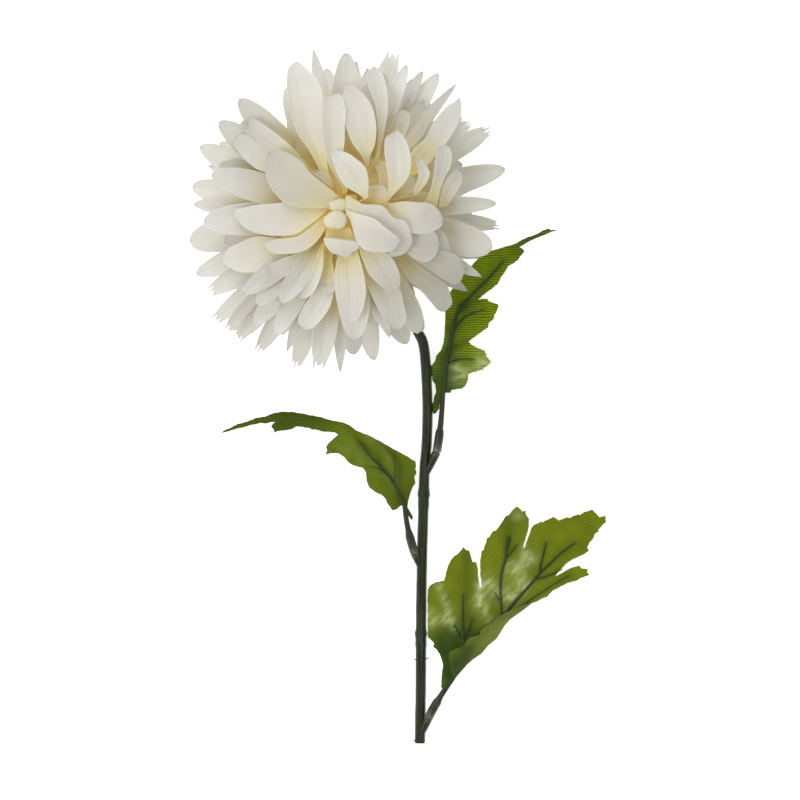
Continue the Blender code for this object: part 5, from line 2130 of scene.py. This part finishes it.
@dataclass
class FrayedEdge:
    """Loose thread ends along the upper leaf's torn lobe."""

    line: Sequence[Point] = UPPER_OUTLINE[67:77]
    lobe_centre: Point = (33.0, 18.5)
    threads: int = 46
    seed: int = 21

    def build(self, leaf: Leaf, material: Material) -> None:
        """Builds and dresses the threads.

        Args:
            leaf: The leaf that frays.
            material: The bare thread.
        """
        draw = random.Random(self.seed)
        route = smooth_route([(x, y, 0.0) for x, y in self.line], 0.4)
        centre = Vector((*self.lobe_centre, 0.0))
        parts = []
        for _ in range(self.threads):
            root = draw.choice(route).copy()
            heading = (root - centre).normalized()
            heading = (heading + Vector((draw.uniform(-0.6, 0.6), draw.uniform(-0.6, 0.6), 0.0))).normalized()
            length = draw.uniform(0.5, 2.1)
            root.z = leaf.height(root.x, root.y)
            start = root - heading * 0.8
            end = root + heading * length + Vector((0.0, 0.0, draw.uniform(-0.3, 0.7)))
            end.z = max(end.z, 0.3)
            parts.append(Drawn([start, root, end], [0.11, 0.1, 0.05], 5).build("thread"))
        settle(join("leaf_upper_threads", parts), material, "leaf_fabric")


@dataclass(frozen=True)
class Studio:
    """A pale table, soft lights and the camera straight above."""

    distance: float = 3.0
    frame_width: float = 0.36
    sensor: float = 36.0
    target: tuple[float, float, float] = (0.0, 0.0, 0.03)
    air_light: float = 0.74

    def make_table(self, material: Material) -> None:
        """The pale table, wide enough to fill a low view.

        Args:
            material: Its finish.
        """
        deselect_all()
        bpy.ops.mesh.primitive_plane_add(size=14.0, location=(0.0, 0.0, 0.0))
        table = bpy.context.object
        table.name = "table"
        table.data.materials.append(material)
        table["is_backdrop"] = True

    def make_light(self, name: str, place: tuple[float, float, float], size: float, power: float) -> None:
        """A large square lamp aimed at the stem.

        Args:
            name: The lamp's name.
            place: Where it stands, in metres.
            size: Its width in metres.
            power: Its power in watts.
        """
        data = bpy.data.lights.new(name, "AREA")
        data.shape = "SQUARE"
        data.size = size
        data.energy = power
        lamp = add_object(name, data)
        lamp.location = place
        lamp.rotation_euler = (Vector(self.target) - Vector(place)).to_track_quat("-Z", "Y").to_euler()

    def build(self, table_material: Material) -> None:
        """Sets up table, light and camera.

        Args:
            table_material: The table's finish.
        """
        self.make_table(table_material)
        world = bpy.data.worlds.new("studio_air")
        world.use_nodes = True
        air = {"Color": (1.0, 1.0, 1.0), "Strength": self.air_light}
        Board(world.node_tree).feed(world.node_tree.nodes["Background"], air)
        bpy.context.scene.world = world
        self.make_light("key_softbox", (-1.3, -0.5, 1.9), 1.2, 24.0)
        self.make_light("fill_softbox", (-0.2, 1.4, 1.6), 1.4, 11.0)
        camera = add_object("camera_above", bpy.data.cameras.new("camera_above"))
        camera.data.sensor_width = self.sensor
        camera.data.lens = self.sensor * self.distance / self.frame_width
        camera.location = Vector(self.target) + Vector((0.0, 0.0, self.distance))
        bpy.context.scene.camera = camera
        bpy.context.scene.view_settings.view_transform = "Standard"


def write_sizes() -> None:
    boxes = {"cad": CAD_BOX, "visual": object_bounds()}
    {name: [list(corner) for corner in box] for name, box in boxes.items()}


def main() -> None:
    """Builds and dresses every piece in order."""
    logging.basicConfig(level=logging.INFO, format="%(name)s %(message)s")
    effects = Effects()
    petal_silk = PetalFabric("petal_silk").make(effects)
    bud_silk = PetalFabric(
        "bud_silk", throat=(0.74, 0.62, 0.28), body=(0.69, 0.64, 0.44), tip=(0.67, 0.635, 0.5), through=0.08,
    ).make(effects)
    plastic = MouldedPlastic("stem_green").make(effects)
    stalk_plastic = MouldedPlastic(
        "stalk_brown_green", first=(0.012, 0.013, 0.008), second=(0.045, 0.041, 0.027),
    ).make(effects)
    wire = GreyWire("drawn_wire").make(effects)
    thread = BareThread("bare_thread").make(effects)
    left_weave = LeafWeave(
        "leaf_left_weave", rib_turn=35.0, light=(0.18, 0.24, 0.018), middle=(0.125, 0.176, 0.01),
        dark=(0.04, 0.06, 0.004), base=(0.036, 0.054, 0.006), rib_tint=0.6,
    ).make(effects)
    upper_weave = LeafWeave(
        "leaf_upper_weave", rib_turn=90.0, rib_pitch=1.12, light=(0.31, 0.42, 0.013),
        middle=(0.2, 0.28, 0.009), dark=(0.045, 0.075, 0.003), rib_tint=0.85,
    ).make(effects)
    lower_weave = LeafWeave(
        "leaf_lower_weave", rib_turn=45.0, rib_pitch=1.15, rib_depth=0.03, rib_tint=0.7,
    ).make(effects)
    back_weave = LeafWeave(
        "leaf_back_weave", rib_turn=50.0, rib_pitch=1.0, light=(0.2, 0.245, 0.03),
        middle=(0.145, 0.18, 0.02), dark=(0.09, 0.12, 0.013), roughness=0.6,
    ).make(effects)

    Bloom().build(petal_silk, bud_silk)
    Calyx().build(plastic)
    Stem().build(plastic, wire)
    left, upper, lower = make_left_leaf(), make_upper_leaf(), make_lower_leaf()
    left.build(left_weave)
    upper.build(upper_weave)
    lower.build(lower_weave)
    lower.build_flap(back_weave)
    for leaf in (left, upper, lower):
        Stalk(leaf, STUBS[leaf.side], STALKS[leaf.side]).build(stalk_plastic)
    FrayedEdge().build(upper, thread)
    Studio().build(Tabletop("table_white").make(effects))
    write_sizes()


if __name__ == "__main__":
    main()
